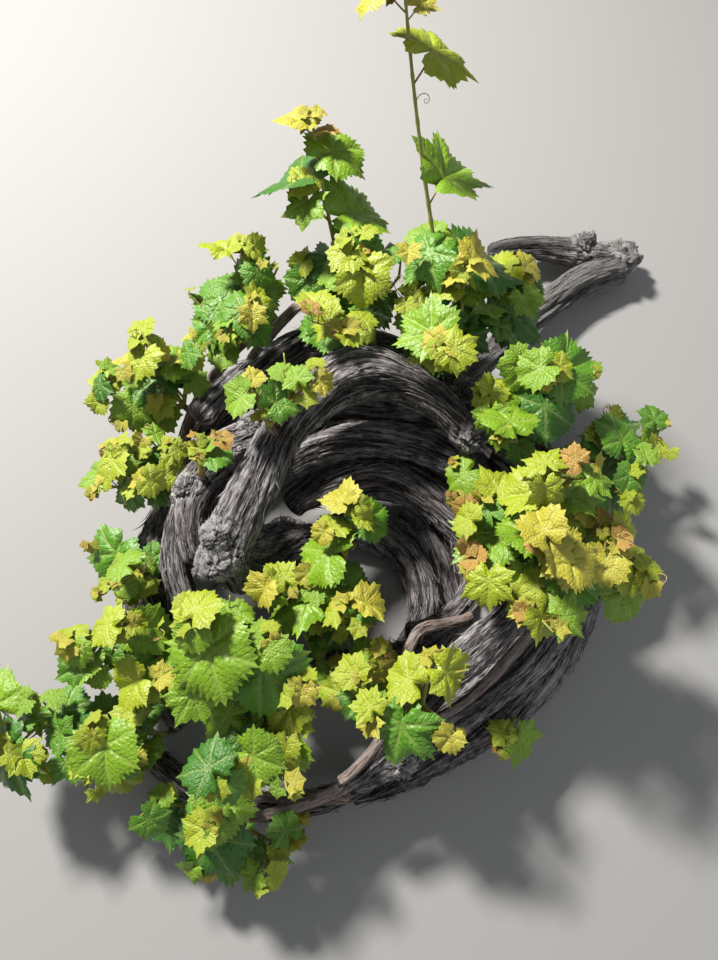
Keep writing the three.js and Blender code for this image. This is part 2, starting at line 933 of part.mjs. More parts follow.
// The three corners of a stalk round a point: one below it and one on each side above.
function stalkCorners(leaf, at, thick) {
  const radius = thick / 2;
  const axis = leaf.seat.clone().sub(leaf.joint).normalize();
  const beside = leaf.side.clone().addScaledVector(axis, -leaf.side.dot(axis)).normalize();
  const under = axis.clone().cross(beside);
  return {
    under: at.clone().addScaledVector(under, radius),
    left: at.clone().addScaledVector(beside, radius * 0.87).addScaledVector(under, -radius / 2),
    right: at.clone().addScaledVector(beside, -radius * 0.87).addScaledVector(under, -radius / 2),
  };
}

// A leaf is a ball pulled out of shape. From its top its rows are the raised middle of the blade,
// the lobed rim, the head of the stalk under the blade, the foot of the stalk, and its end.
function leafSolid(leaf) {
  const count = BLADE_ANGLES.length;
  const geometry = new THREE.SphereGeometry(1, count, 4);
  const place = geometry.attributes.position;
  const head = stalkCorners(leaf, leaf.seat, STALK_THICK);
  head.under = keelPoint(leaf);
  const foot = stalkCorners(leaf, leaf.joint, STALK_FOOT_THICK);
  for (let i = 0; i < place.count; i += 1) {
    const row = Math.floor(i / (count + 1));
    const angle = -BLADE_ANGLES[i % (count + 1) % count];
    const corner = Math.abs(angle) < KEEL_ANGLE ? "under" : angle > 0 ? "left" : "right";
    const top = middlePoint(leaf, BLADE_THICK / 2);
    const rows = [top, rimPoint(leaf, angle), head[corner], foot[corner], foot.left];
    place.setXYZ(i, rows[row].x, rows[row].y, rows[row].z);
  }
  return solidFrom(geometry);
}

function stickSolid(line, thickAt, sides) {
  const last = line.length - 1;
  const rings = line.map((at, i) => ({ at, radius: thickAt(i / last) / 2, run: 0 }));
  return rod(rings, sides);
}

function massSolid(grown, cutters) {
  const top = grown.hub.clone().lerp(grown.foot, -STEM_OVER_HUB);
  const pieces = [stickSolid([grown.foot, top], () => STEM_THICK, 4)];
  const shootThick = (t) => (t > 0 ? SHOOT_THICK + (SHOOT_TIP_THICK - SHOOT_THICK) * t : SHOOT_ROOT_THICK);
  for (const shoot of grown.shoots) {
    pieces.push(stickSolid(shoot.line, shootThick, 3));
  }
  for (const leaf of grown.leaves) {
    pieces.push(leafSolid(leaf));
  }
  let solid = wasm.Manifold.union(pieces);
  for (const cutter of cutters) {
    solid = solid.subtract(cutter);
  }
  return largest(solid);
}

function meshFrom(name, solid, colour, roughness) {
  const material = new THREE.MeshStandardMaterial({ color: colour, roughness, metalness: 0 });
  const mesh = new THREE.Mesh(geometryFrom(solid), material);
  mesh.name = name;
  return mesh;
}

function woodColour(limb) {
  if (limb.name.startsWith("old_arm")) {
    return OLD_COLOUR;
  }
  return limb.name.endsWith("cane") ? CANE_COLOUR : WOOD_COLOUR;
}

const wood = new THREE.Group();
const limbs = growLimbs();
for (const limb of limbs) {
  wood.add(meshFrom(limb.name, limb.solid, woodColour(limb), WOOD_ROUGHNESS));
}

const foliage = new THREE.Group();
const cutters = limbs.map((limb) => limb.cutter);
Object.keys(MASSES).forEach((name, index) => {
  const solid = massSolid(growMass(name), cutters);
  const colour = LEAF_COLOURS[index % LEAF_COLOURS.length];
  foliage.add(meshFrom(name, solid, colour, LEAF_ROUGHNESS));
});

const vine = new THREE.Group();
vine.add(wood, foliage);
export default vine;
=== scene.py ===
"""An old grapevine trained as a low basket: shaggy bark on its coiled arms, and leafy shoots on its rim.

Lengths in the tables are millimetres, as in the part's source; meshes are in metres.
"""

import functools
import math

import bmesh
import bpy
import numpy as np
from bpy.props import FloatProperty, FloatVectorProperty, IntProperty, PointerProperty
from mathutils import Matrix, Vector


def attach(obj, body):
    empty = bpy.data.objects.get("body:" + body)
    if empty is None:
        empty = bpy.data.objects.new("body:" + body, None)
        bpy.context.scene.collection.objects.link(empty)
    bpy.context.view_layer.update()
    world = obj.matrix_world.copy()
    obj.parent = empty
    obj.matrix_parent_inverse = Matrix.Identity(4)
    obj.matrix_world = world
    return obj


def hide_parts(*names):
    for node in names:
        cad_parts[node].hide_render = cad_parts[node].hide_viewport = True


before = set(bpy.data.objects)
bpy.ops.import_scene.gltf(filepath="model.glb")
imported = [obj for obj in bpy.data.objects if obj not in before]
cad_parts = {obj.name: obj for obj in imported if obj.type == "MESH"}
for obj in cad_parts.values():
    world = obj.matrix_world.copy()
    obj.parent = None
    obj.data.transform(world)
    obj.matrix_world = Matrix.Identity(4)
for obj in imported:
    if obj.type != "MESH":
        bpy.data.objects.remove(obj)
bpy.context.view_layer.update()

bl_info = {
    "name": "Basket grapevine",
    "version": (1, 0, 0),
    "blender": (4, 5, 0),
    "location": "3D View > Sidebar > Vine",
    "description": "Grows the bark, shoots and leaves of a grapevine trained as a low basket",
    "category": "Add Mesh",
}

MM = 0.001
UP = np.array([0.0, 0.0, 1.0])

# The basket's middle, seen from the foot of the trunk. Arms are described round it.
MIDDLE = np.array([115.0, -91.0])

# Each arm's turn round the middle, the number of solids it has in the frame, and then its distance
# out, its height and its thickness at equal steps on the way.
ARM_ROWS = {
    "top_arm": (
        (50, 171), 2,
        (288, 306, 308, 252, 205, 190, 194),
        (205, 250, 268, 264, 255, 242, 215),
        (46, 58, 84, 64, 68, 72, 66),
    ),
    "outer_fork": (
        (168, 118), 1,
        (232, 272, 288, 288), (196, 204, 200, 188), (54, 60, 66, 56),
    ),
    "left_coil": (
        (146, 268), 2,
        (290, 277, 243, 170, 142, 138, 150),
        (190, 180, 152, 118, 98, 86, 78),
        (38, 46, 46, 50, 54, 48, 34),
    ),
    "mid_arm": (
        (116, 4), 2,
        (236, 250, 262, 280, 302, 308),
        (140, 150, 152, 145, 128, 108),
        (50, 58, 60, 58, 54, 48),
    ),
    "low_arm": (
        (122, 14), 2,
        (199, 204, 212, 216, 217, 213),
        (80, 90, 95, 90, 80, 70),
        (62, 72, 74, 72, 66, 58),
    ),
    "floor_arm": (
        (62, -8), 1,
        (184, 174, 170, 174), (34, 34, 33, 30), (52, 56, 54, 44),
    ),
    "back_left_arm": (
        (66, 131), 1,
        (400, 432, 448, 412, 383),
        (120, 140, 152, 158, 160),
        (40, 46, 48, 50, 52),
    ),
    "back_arm": (
        (112, 36), 1,
        (366, 374, 384, 388, 384),
        (160, 166, 160, 150, 130),
        (44, 50, 50, 48, 42),
    ),
    "right_arm": (
        (44, -94), 2,
        (322, 320, 290, 222, 188, 187, 214, 268),
        (160, 192, 214, 220, 220, 210, 195, 165),
        (46, 48, 50, 52, 50, 42, 30, 20),
    ),
    "front_right_arm": (
        (34, -90), 2,
        (376, 345, 282, 236, 232, 266),
        (112, 124, 134, 130, 118, 96),
        (50, 56, 60, 56, 46, 32),
    ),
    "right_foot_arm": (
        (44, -90), 2,
        (430, 410, 348, 290, 270, 286),
        (44, 46, 44, 42, 38, 34),
        (46, 54, 58, 56, 48, 34),
    ),
    "front_foot_arm": (
        (-86, -143), 1,
        (268, 312, 356, 392), (62, 52, 44, 36), (30, 44, 46, 38),
    ),
    "back_foot_arm": (
        (54, 132), 1,
        (424, 456, 470, 446, 408),
        (42, 46, 48, 46, 42),
        (46, 54, 58, 56, 48),
    ),
    "left_foot_arm": (
        (138, 214), 1,
        (380, 372, 362, 352, 336), (44, 42, 40, 36, 30), (40, 46, 46, 42, 34),
    ),
    "back_wall_arm": (
        (126, 14), 2,
        (322, 330, 334, 336, 330, 312),
        (70, 78, 84, 80, 72, 62),
        (60, 70, 74, 72, 64, 54),
    ),
    "heart_coil": (
        (112, -150), 3,
        (140, 128, 116, 112, 96, 62),
        (36, 34, 34, 34, 33, 30),
        (60, 62, 62, 60, 56, 44),
    ),
    "left_wall_arm": (
        (124, 214), 2,
        (342, 336, 322, 306, 280), (112, 110, 102, 90, 72), (40, 46, 46, 42, 34),
    ),
    "inner_tail": (
        (8, -30), 1,
        (196, 150, 98), (84, 92, 98), (44, 42, 36),
    ),
    "inner_stub": (
        (-10, -52), 1,
        (150, 120, 92), (46, 44, 40), (46, 46, 38),
    ),
    "old_arm": (
        (64, 52.5), 1,
        (400, 520, 650, 768, 846), (96, 72, 56, 46, 40), (40, 44, 50, 58, 64),
    ),
    "old_arm_return": (
        (53, 69), 1,
        (850, 820, 790, 740), (40, 48, 54, 66), (62, 56, 48, 34),
    ),
    "crossing_cane": (
        (-14, -94), 1,
        (172, 118, 116, 140, 200, 262),
        (196, 206, 204, 198, 196, 178),
        (13, 14, 14, 14, 15, 14),
    ),
    "bottom_cane": (
        (-90, -117), 1,
        (262, 300, 350), (136, 118, 100), (18, 18, 15),
    ),
    "lower_cane": (
        (-92, -118), 1,
        (286, 296, 326), (112, 100, 86), (18, 17, 14),
    ),
    "side_cane": (
        (2, -56), 1,
        (296, 238, 214), (168, 166, 160), (15, 16, 14),
    ),
    "upper_cane": (
        (96, 118), 1,
        (548, 480, 404), (150, 158, 166), (17, 19, 17),
    ),
    "left_cane": (
        (106, 148), 1,
        (530, 470, 405, 350), (118, 122, 118, 104), (18, 21, 22, 20),
    ),
}
ARM_KEYS = ("turn", "parts", "out", "up", "thick")
ARMS = {name: dict(zip(ARM_KEYS, row)) for name, row in ARM_ROWS.items()}

TRUNK_TOP = np.array([-70.0, -46.0, 206.0])
TRUNK_RINGS = ((0, 78), (14, 66), (40, 56), (80, 51), (130, 50), (175, 52), (206, 40))

# Knobs of old pruning wounds: arm, angle round the middle, the way they face, lift and radius.
KNOBS = (
    ("top_arm", 169, 230, 55, 31),
    ("top_arm", 160, 190, 50, 24),
    ("outer_fork", 150, 160, 50, 22),
    ("outer_fork", 136, 300, 60, 27),
    ("outer_fork", 121, 130, 50, 24),
    ("left_coil", 152, 170, 50, 20),
    ("back_arm", 62, 250, 55, 22),
    ("top_arm", 54, 300, 50, 22),
    ("old_arm_return", 53, 40, 30, 34),
    ("old_arm_return", 57, 100, 50, 26),
    ("front_right_arm", -72, 250, 30, 24),
    ("left_coil", 236, 60, 60, 22),
)

# Masses of leafy shoots: the arm and the angle where the stem stands, the largest blade, the seed,
# how young the leaves are from 0 to 1, and each shoot's direction in plan, rise and length.
MASS_ROWS = {
    "upper_left_leaves": (
        "left_cane", 115, 77, 34, 0.42,
        ((66, 60, 170), (145, 32, 105), (36, 48, 155), (218, 32, 90), (335, 67, 150)),
    ),
    "left_upper_leaves": (
        "left_cane", 131, 73, 100, 0.45,
        ((180, 24, 135), (126, 66, 145), (60, 64, 110), (205, 12, 105)),
    ),
    "left_middle_leaves": (
        "left_wall_arm", 145, 64, 96, 0.5,
        ((198, 10, 130), (176, 42, 110), (60, 80, 115), (245, 56, 105)),
    ),
    "left_lower_leaves": (
        "left_wall_arm", 168, 66, 95, 0.5,
        ((176, 34, 85), (236, 18, 90), (258, 10, 120), (300, 58, 115)),
    ),
    "left_front_leaves": (
        "left_wall_arm", 194, 75, 107, 0.42,
        ((178, 40, 130), (206, 28, 90), (110, 78, 120), (300, 50, 95)),
    ),
    "far_left_leaves": (
        "left_foot_arm", 214, 79, 4, 0.4,
        ((177, 34, 285), (172, 68, 165), (220, 30, 120)),
    ),
    "front_left_leaves": (
        "left_coil", 212, 90, 112, 0.34,
        (
            (156, 64, 200), (205, 48, 160), (262, 32, 175), (285, 24, 190),
            (314, 34, 175), (40, 80, 155), (336, 56, 145),
        ),
    ),
    "front_bottom_leaves": (
        "front_foot_arm", -127, 68, 17, 0.35,
        ((345, 70, 125), (168, 44, 80), (338, 8, 140), (274, 10, 80)),
    ),
    "top_left_leaves": (
        "back_left_arm", 91, 90, 52, 0.36,
        ((108, 54, 320), (141, 39, 130), (10, 57, 135), (262, 54, 185), (30, 84, 165)),
    ),
    "top_right_leaves": (
        "back_arm", 65, 90, 74, 0.4,
        ((113, 58, 550), (58, 24, 180), (130, 38, 180), (232, 64, 185), (105, 72, 200)),
    ),
    "right_top_leaves": (
        "back_arm", 42, 92, 35, 0.22,
        ((118, 64, 290), (178, 50, 165), (42, 50, 135), (140, 82, 190), (222, 54, 180)),
    ),
    "right_middle_leaves": (
        "front_right_arm", 26, 90, 97, 0.16,
        ((80, 60, 170), (18, 44, 130), (140, 78, 190), (338, 44, 105), (209, 67, 180)),
    ),
    "right_lower_leaves": (
        "right_arm", 4, 77, 87, 0.62,
        (
            (150, 24, 145), (194, 24, 140), (238, 34, 125), (0, 2, 115),
            (114, 62, 150), (204, 70, 155), (26, 60, 95),
        ),
    ),
    "far_right_leaves": (
        "right_foot_arm", 32, 62, 51, 0.45,
        ((16, 32, 155),),
    ),
    "centre_leaves": (
        "left_coil", 238, 79, 3, 0.46,
        ((74, 42, 270), (124, 45, 170), (52, 60, 160)),
    ),
    "centre_front_leaves": (
        "left_coil", 258, 71, 28, 0.6,
        ((87, 66, 145), (352, 76, 125), (28, 56, 135)),
    ),
    "front_right_leaves": (
        "right_arm", -60, 71, 31, 0.6,
        ((190, 18, 75), (76, 48, 85), (318, 24, 60)),
    ),
    "inner_left_sprig": (
        "top_arm", 118, 41, 83, 0.72,
        ((118, 32, 70), (42, 24, 110)),
    ),
    "left_sprig": (
        "outer_fork", 146, 39, 63, 0.75,
        ((75, 68, 40), (54, 42, 70)),
    ),
    "inner_right_sprig": (
        "mid_arm", 45, 43, 95, 0.7,
        ((145, 36, 50), (216, 24, 55)),
    ),
    "outer_right_sprig": (
        "right_foot_arm", -36, 49, 5, 0.7,
        ((232, 42, 70),),
    ),
}
MASS_KEYS = ("on", "turn", "leaf", "seed", "young", "shoots")
MASSES = {name: dict(zip(MASS_KEYS, row)) for name, row in MASS_ROWS.items()}

# How shoots and leaves grow, as in the part's source. A pair is the least value and what chance
# adds to it.
STEM_LENGTH = 14
SHOOT_STEP = 65
SHOOT_STEPS = 3
SHOOT_SWAY = 26
SHOOT_CURL = 14
FIRST_LEAF = 0.35
LEAF_SPACING = 0.72
TIP_SPACING = 0.36
MOST_LEAVES = 7
LEAF_SIZES = (0.8, 1, 0.94, 0.7, 0.4)
LEAF_TURN = 100
STALK_SHARE = (0.5, 0.35)
STALK_OPEN = (0.85, 0.3)
STALK_AHEAD = (0.3, 0.4)
STALK_UP = (0.3, 0.5)
BLADE_DROOP = (4, 38)
BLADE_ROLL = 56
LEAF_SCALE = (0.86, 0.28)
RETRY_SHRINK = 0.08
BLADE_MIDDLE = 0.3
CUP = 0.05
LEAST_BEND = 6
HEART_REACH = 0.45
HEART_SIZE = 0.25
OVERLAY = 2.5
LEAF_APART = 0.72
TRIES = 10
LIMB_CLEAR = 2.5
CELL_CLEAR = 0.4
GROUND_CLEAR = 4
WOOD_SAMPLES = 41
BLADE = ((0, 1), (27, 0.7), (54, 0.86), (112, 0.66), (180, 0.12))
BLADE_ANGLES = [turn for turn, _ in BLADE] + [-turn for turn, _ in reversed(BLADE[1:-1])]

# Finer growth, which the part's source leaves out: small leaves, side shoots, tips and tendrils.
# A size is a share of the mass's largest blade.
FINER_SEED = 1000
SMALL_FIRST = 0.22
SMALL_SPACING = 0.42
SMALL_SIZE = (0.38, 0.34)
SMALL_APART = 0.5
SMALL_TRIES = 6
SMALL_TAPER = 0.35
TIP_APART = 0.7
BARE_FROM = 190
OVER_REACH = 6
SIDE_SHOOT_CHANCE = 0.36
SIDE_SHOOT_LENGTH = (34, 46)
SIDE_SHOOT_OPEN = (0.8, 0.4)
SIDE_SHOOT_AHEAD = (0.5, 0.5)
SIDE_SHOOT_UP = (0.1, 0.6)
SIDE_SHOOT_DIP = 0.3
SIDE_SHOOT_CURL = 0.5
SIDE_SHOOT_THICK = 0.55
SIDE_LEAF_SHARES = (0.3, 0.55, 0.8, 0.98)
SIDE_LEAF_SIZES = (0.5, 0.46, 0.36, 0.26)
TIP_LEAF_SHARES = (0.9, 0.95, 0.985, 1.0)
TIP_LEAF_SIZES = (0.34, 0.26, 0.2, 0.16)
TENDRIL_CHANCE = 0.5
TENDRIL_LENGTH = (55, 60)
TENDRIL_STEPS = 26
TENDRIL_TURNS = (1.2, 1.8)
TENDRIL_FROM = (0.55, 0.45)
TENDRIL_SAG = 0.25

# How the wood is shaped, in millimetres. A limb wanders off its middle line, and its grain sways
# and is drawn out along it.
WANDER = 3
WANDER_LENGTH = 130
SWAY = 0.4
SWAY_LENGTH = 150
LOBE_SHARE = 0.09
GRAIN_STRETCH = 0.085
STRIP_RINGS = 7
CAP_ROWS = 5
CAP_LENGTH = 0.4
FLOOR_CLEAR = 0.6
WELD = 1e-5
STEM_RADIUS = 7.4
STEM_TAPER = 2.4
STEM_STEPS = 8
TRUNK_STEPS = 52
KNOB_SUNK = 0.35
KNOB_SPREAD = 1.9
KNOB_RELIEF = 7

# How much of the relief each layer gives. Plates and furrows have a least value and what is added.
PLATE_RELIEF = (0.24, 0.26)
STRAND_RELIEF = 0.26
FIBRE_RELIEF = 0.24
FURROW_RELIEF = (0.15, 0.85)

# The relief that is neither raised nor sunk, how much of it is left where painted shade falls against
# another arm, and the share of a limb's radius within which a middle line is its own.
RELIEF_MIDDLE = 0.6
RELIEF_IN_SHADE = 0.3
OWN_WOOD = 0.6

# The first seed of each kind of limb. Limbs after it count up.
TRUNK_SEED = 7
LIMB_SEEDS = {"old": 11, "bleached": 61, "cane": 91}
STEM_SEED = 131
STRIP_SEED = 100
KNOB_SEEDS = 10

MASK = 0xFFFFFFFF


def seeded(seed):
    """A repeatable run of random numbers from 0 to 1, the same as in the part's source."""
    state = seed & MASK

    def draw():
        nonlocal state
        state = (state + 0x6D2B79F5) & MASK
        z = state
        z = ((z ^ (z >> 15)) * (z | 1)) & MASK
        z ^= (z + (((z ^ (z >> 7)) * (z | 61)) & MASK)) & MASK
        return ((z ^ (z >> 14)) & MASK) / (MASK + 1)

    return draw


def chance(span, random):
    """A value from its least up to what chance adds."""
    least, more = span
    return least + more * random()


def unit(way):
    """A vector, or rows of them, brought to length 1."""
    return way / np.linalg.norm(way, axis=-1, keepdims=True)


def heading(turn, rise):
    """The unit vector that points a way in plan and rises above level."""
    flat = math.cos(math.radians(rise))
    x = math.cos(math.radians(turn)) * flat
    y = math.sin(math.radians(turn)) * flat
    return np.array([x, y, math.sin(math.radians(rise))])


def through(values, t):
    """A smooth run through equally spaced values or points, at shares t of the way along."""
    values = np.asarray(values, dtype=float)
    last = len(values) - 1
    x = np.clip(np.asarray(t, dtype=float), 0, 1) * last
    i = np.minimum(np.floor(x).astype(int), last - 1)
    u = x - i
    inner, early = i > 0, i + 2 <= last
    if values.ndim > 1:
        u, inner, early = u[..., None], inner[..., None], early[..., None]
    a, b = values[i], values[i + 1]
    leaving = np.where(inner, (b - values[np.maximum(i - 1, 0)]) / 2, b - a)
    arriving = np.where(early, (values[np.minimum(i + 2, last)] - a) / 2, b - a)
    u2, u3 = u * u, u * u * u
    held = (2 * u3 - 3 * u2 + 1) * a + (3 * u2 - 2 * u3) * b
    return held + (u3 - 2 * u2 + u) * leaving + (u3 - u2) * arriving


def arm_point(arm, t):
    """The middle line of an arm at shares t of its length."""
    t = np.asarray(t, dtype=float)
    start, end = arm["turn"]
    turn = np.radians(start + (end - start) * t)
    out = through(arm["out"], t)
    return np.stack(
        [MIDDLE[0] + out * np.cos(turn), MIDDLE[1] + out * np.sin(turn), through(arm["up"], t)], axis=-1
    )


def share_at(arm, turn):
    """The share of an arm's length where it passes an angle round the middle."""
    start, end = arm["turn"]
    return (turn - start) / (end - start)


WOOD_SHARES = np.linspace(0, 1, WOOD_SAMPLES)
WOOD_POINTS = np.concatenate([arm_point(arm, WOOD_SHARES) for arm in ARMS.values()])
WOOD_RADII = np.concatenate([through(arm["thick"], WOOD_SHARES) / 2 for arm in ARMS.values()])


def clear_of_wood(points, gap):
    """Whether points stay a gap away from every limb."""
    away = np.linalg.norm(points[:, None] - WOOD_POINTS, axis=2)
    return bool(np.all(away - WOOD_RADII > gap))


def root_of(mass):
    """Where a mass's stem leaves the bark, and the point where its shoots part."""
    arm = ARMS[mass["on"]]
    share = share_at(arm, mass["turn"])
    centre = arm_point(arm, share)
    axis = unit(arm_point(arm, share + 0.01) - arm_point(arm, share - 0.01))
    way = sum(heading(turn, rise) * length for turn, rise, length in mass["shoots"])
    way = unit(way - axis * way.dot(axis))
    half = through(arm["thick"], share) / 2
    return centre + way * half * 0.7, centre + way * (half + STEM_LENGTH)


def heart_of(mass):
    """The heart of a mass's own space, with its size and reach."""
    _, hub = root_of(mass)
    shoots = mass["shoots"]
    ways = [heading(turn, rise) * length for turn, rise, length in shoots]
    at = hub + sum(ways) * HEART_REACH / len(shoots)
    size = sum(length for _, _, length in shoots) * HEART_SIZE / len(shoots)
    reach = max(np.linalg.norm(hub + way - at) for way in ways) + mass["leaf"]
    return at, size, reach


HEARTS = {name: heart_of(mass) for name, mass in MASSES.items()}


def keeps_to_cell(points, name):
    """Whether points are nearer their own mass's heart than any other heart within reach."""
    at, size, _ = HEARTS[name]
    mine = np.sum((points - at) ** 2, axis=1) - size * size
    for other, (other_at, other_size, other_reach) in HEARTS.items():
        if other == name:
            continue
        squared = np.sum((points - other_at) ** 2, axis=1)
        margin = 2 * CELL_CLEAR * np.linalg.norm(at - other_at)
        near = squared <= other_reach**2
        if np.any(near & (squared - other_size**2 - mine <= margin)):
            return False
    return True


def fits(points, name):
    """Whether points stay above the ground, in the mass's own space and clear of the wood."""
    above = bool(np.all(points[:, 2] > GROUND_CLEAR))
    return above and keeps_to_cell(points, name) and clear_of_wood(points, LIMB_CLEAR)


def shoot_line(hub, shoot, random):
    """The line of one shoot from the hub, bending a little as it grows."""
    turn, rise, length = shoot
    sway = (random() - 0.5) * SHOOT_SWAY
    steps = max(SHOOT_STEPS, math.floor(length / SHOOT_STEP + 0.5))
    line = [hub]
    for i in range(steps):
        u = (i + 0.5) / steps - 0.5
        line.append(line[-1] + heading(turn + sway * u, rise + SHOOT_CURL * u) * length / steps)
    return np.array(line)


def leaf_place(line, share, size, way, random):
    """One leaf's place: its stalk leaves the shoot at the joint and carries the blade at the seat."""
    x = share * (len(line) - 1)
    i = min(math.floor(x), len(line) - 2)
    joint = line[i] + (line[i + 1] - line[i]) * (x - i)
    ahead = unit(line[i + 1] - line[i])
    across = unit(np.cross(ahead, UP))
    spin = math.radians((random() - 0.5) * LEAF_TURN)
    lift = unit(UP - ahead * ahead[2])
    stalk = (across * way * math.cos(spin) + lift * math.sin(spin)) * chance(STALK_OPEN, random)
    stalk = stalk + ahead * chance(STALK_AHEAD, random)
    stalk = unit(stalk + UP * chance(STALK_UP, random))
    seat = joint + stalk * size * chance(STALK_SHARE, random)
    level = unit(stalk * (1, 1, 0))
    steepest = math.asin(stalk[2]) - math.radians(LEAST_BEND)
    droop = min(-math.radians(chance(BLADE_DROOP, random)), steepest)
    mid = level * math.cos(droop) + UP * math.sin(droop)
    roll = math.radians((random() - 0.5) * BLADE_ROLL)
    upright = unit(UP - mid * mid[2])
    normal = upright * math.cos(roll) + np.cross(mid, upright) * math.sin(roll)
    return {
        "joint": joint, "seat": seat, "mid": mid, "normal": normal,
        "side": np.cross(mid, normal), "size": size, "share": share,
    }


def blade_reach(angle):
    """The reach of the source's plain blade at an angle from its midrib."""
    turns, reaches = zip(*BLADE)
    return float(np.interp(abs(angle), turns, reaches))


def leaf_middle(leaf):
    """The raised middle of a blade."""
    return leaf["seat"] + leaf["mid"] * leaf["size"] * BLADE_MIDDLE + leaf["normal"] * leaf["size"] * CUP


def leaf_test_points(leaf):
    """Points over a leaf, to see whether it keeps to its space."""
    middle = leaf_middle(leaf)
    points = [leaf["joint"] + (leaf["seat"] - leaf["joint"]) * 0.35, leaf["seat"], middle]
    for angle in BLADE_ANGLES:
        reach = leaf["size"] * blade_reach(angle)
        along = leaf["mid"] * reach * math.cos(math.radians(angle))
        rim = leaf["seat"] + along + leaf["side"] * reach * math.sin(math.radians(angle))
        points += [rim, rim + (middle - rim) * 0.5]
    return np.array(points)


def clear_of_leaves(leaf, leaves, apart):
    """Whether a blade's middle is far enough from those of the others."""
    centre = leaf_middle(leaf)
    for other in leaves:
        dx, dy, dz = leaf_middle(other) - centre
        if math.sqrt(dx * dx + dy * dy + (OVERLAY * dz) ** 2) <= apart * (leaf["size"] + other["size"]):
            return False
    return True


def fitting_leaf(name, line, share, size, way, random, leaves, apart, tries):
    """The first of some tries at a leaf that keeps to its space, or nothing."""
    for attempt in range(tries):
        scale = chance(LEAF_SCALE, random) * (1 - RETRY_SHRINK * attempt)
        leaf = leaf_place(line, share, size * scale, way, random)
        if fits(leaf_test_points(leaf), name) and clear_of_leaves(leaf, leaves, apart):
            return leaf
    return None


def grow_mass(name):
    """Shoots and leaves of one mass, in the order in which the part's source grows them."""
    mass = MASSES[name]
    random = seeded(mass["seed"])
    foot, hub = root_of(mass)
    shoots = []
    leaves = []
    for shoot in mass["shoots"]:
        length = shoot[2]
        line = shoot_line(hub, shoot, random)
        steps = len(line) - 1
        for i in range(1, len(line)):
            point = line[i : i + 1]
            if not (clear_of_wood(point, LIMB_CLEAR) and keeps_to_cell(point, name)):
                line = line[:i]
                break
        if len(line) < 2:
            continue
        grown = length * (len(line) - 1) / steps
        shoots.append({"line": line, "length": grown, "thick": 1.0})
        run = mass["leaf"] * FIRST_LEAF
        way = 1 if random() < 0.5 else -1
        while run < grown:
            share = run / grown
            size = mass["leaf"] * float(through(LEAF_SIZES, run / length))
            leaf = fitting_leaf(name, line, share, size, way, random, leaves, LEAF_APART, TRIES)
            if leaf:
                leaves.append(leaf)
            way = -way
            spacing = mass["leaf"] * (LEAF_SPACING + (TIP_SPACING - LEAF_SPACING) * share)
            run += max(spacing, length / MOST_LEAVES)
    return {"foot": foot, "hub": hub, "shoots": shoots, "leaves": leaves}


def side_line(line, share, length, way, random):
    """The line of a short side shoot that leaves a shoot at a share of its length."""
    x = share * (len(line) - 1)
    i = min(math.floor(x), len(line) - 2)
    start = line[i] + (line[i + 1] - line[i]) * (x - i)
    ahead = unit(line[i + 1] - line[i])
    across = unit(np.cross(ahead, UP)) * way * chance(SIDE_SHOOT_OPEN, random)
    step = across + ahead * chance(SIDE_SHOOT_AHEAD, random) + UP * chance(SIDE_SHOOT_UP, random)
    curl = UP * (random() - SIDE_SHOOT_DIP) * SIDE_SHOOT_CURL
    return start + np.array([unit(step + curl * u) * length * u for u in np.linspace(0, 1, 4)])


def reach_box(grown):
    """The lowest and highest corners that a mass's main shoots and leaves reach."""
    points = [shoot["line"] for shoot in grown["shoots"]]
    points = np.vstack(points + [leaf_test_points(leaf) for leaf in grown["leaves"]])
    return points.min(axis=0), points.max(axis=0)


def inside(points, box):
    """Whether points stay within a box."""
    low, high = box
    return bool(np.all(points > low - OVER_REACH) and np.all(points < high + OVER_REACH))


def grow_finer(name, grown):
    """Adds small leaves, side shoots and tip leaves to a mass, in its own space."""
    mass = MASSES[name]
    random = seeded(mass["seed"] + FINER_SEED)
    leaves = grown["leaves"]
    box = reach_box(grown)

    def add_leaf(line, share, size, way, apart):
        leaf = fitting_leaf(name, line, share, size, way, random, leaves, apart, SMALL_TRIES)
        if leaf and inside(leaf_test_points(leaf), box):
            leaves.append(leaf)

    for shoot in list(grown["shoots"]):
        line, length = shoot["line"], shoot["length"]
        run = mass["leaf"] * SMALL_FIRST
        way = 1 if random() < 0.5 else -1
        while run < min(length, BARE_FROM):
            share = run / length
            if random() < SIDE_SHOOT_CHANCE:
                reach = chance(SIDE_SHOOT_LENGTH, random)
                side = side_line(line, share, reach, way, random)
                if fits(side[1:], name) and inside(side, box):
                    grown["shoots"].append({"line": side, "length": reach, "thick": SIDE_SHOOT_THICK})
                    for i, (along, size) in enumerate(zip(SIDE_LEAF_SHARES, SIDE_LEAF_SIZES)):
                        add_leaf(side, along, mass["leaf"] * size, way if i % 2 else -way, SMALL_APART)
            else:
                size = mass["leaf"] * chance(SMALL_SIZE, random) * (1 - SMALL_TAPER * share)
                add_leaf(line, share, size, way, SMALL_APART)
            way = -way
            run += mass["leaf"] * SMALL_SPACING
        for share, size in zip(TIP_LEAF_SHARES, TIP_LEAF_SIZES):
            add_leaf(line, share, mass["leaf"] * size, way, SMALL_APART * TIP_APART)
            way = -way
    grown["tendrils"] = grow_tendrils(name, grown["shoots"], box, random)


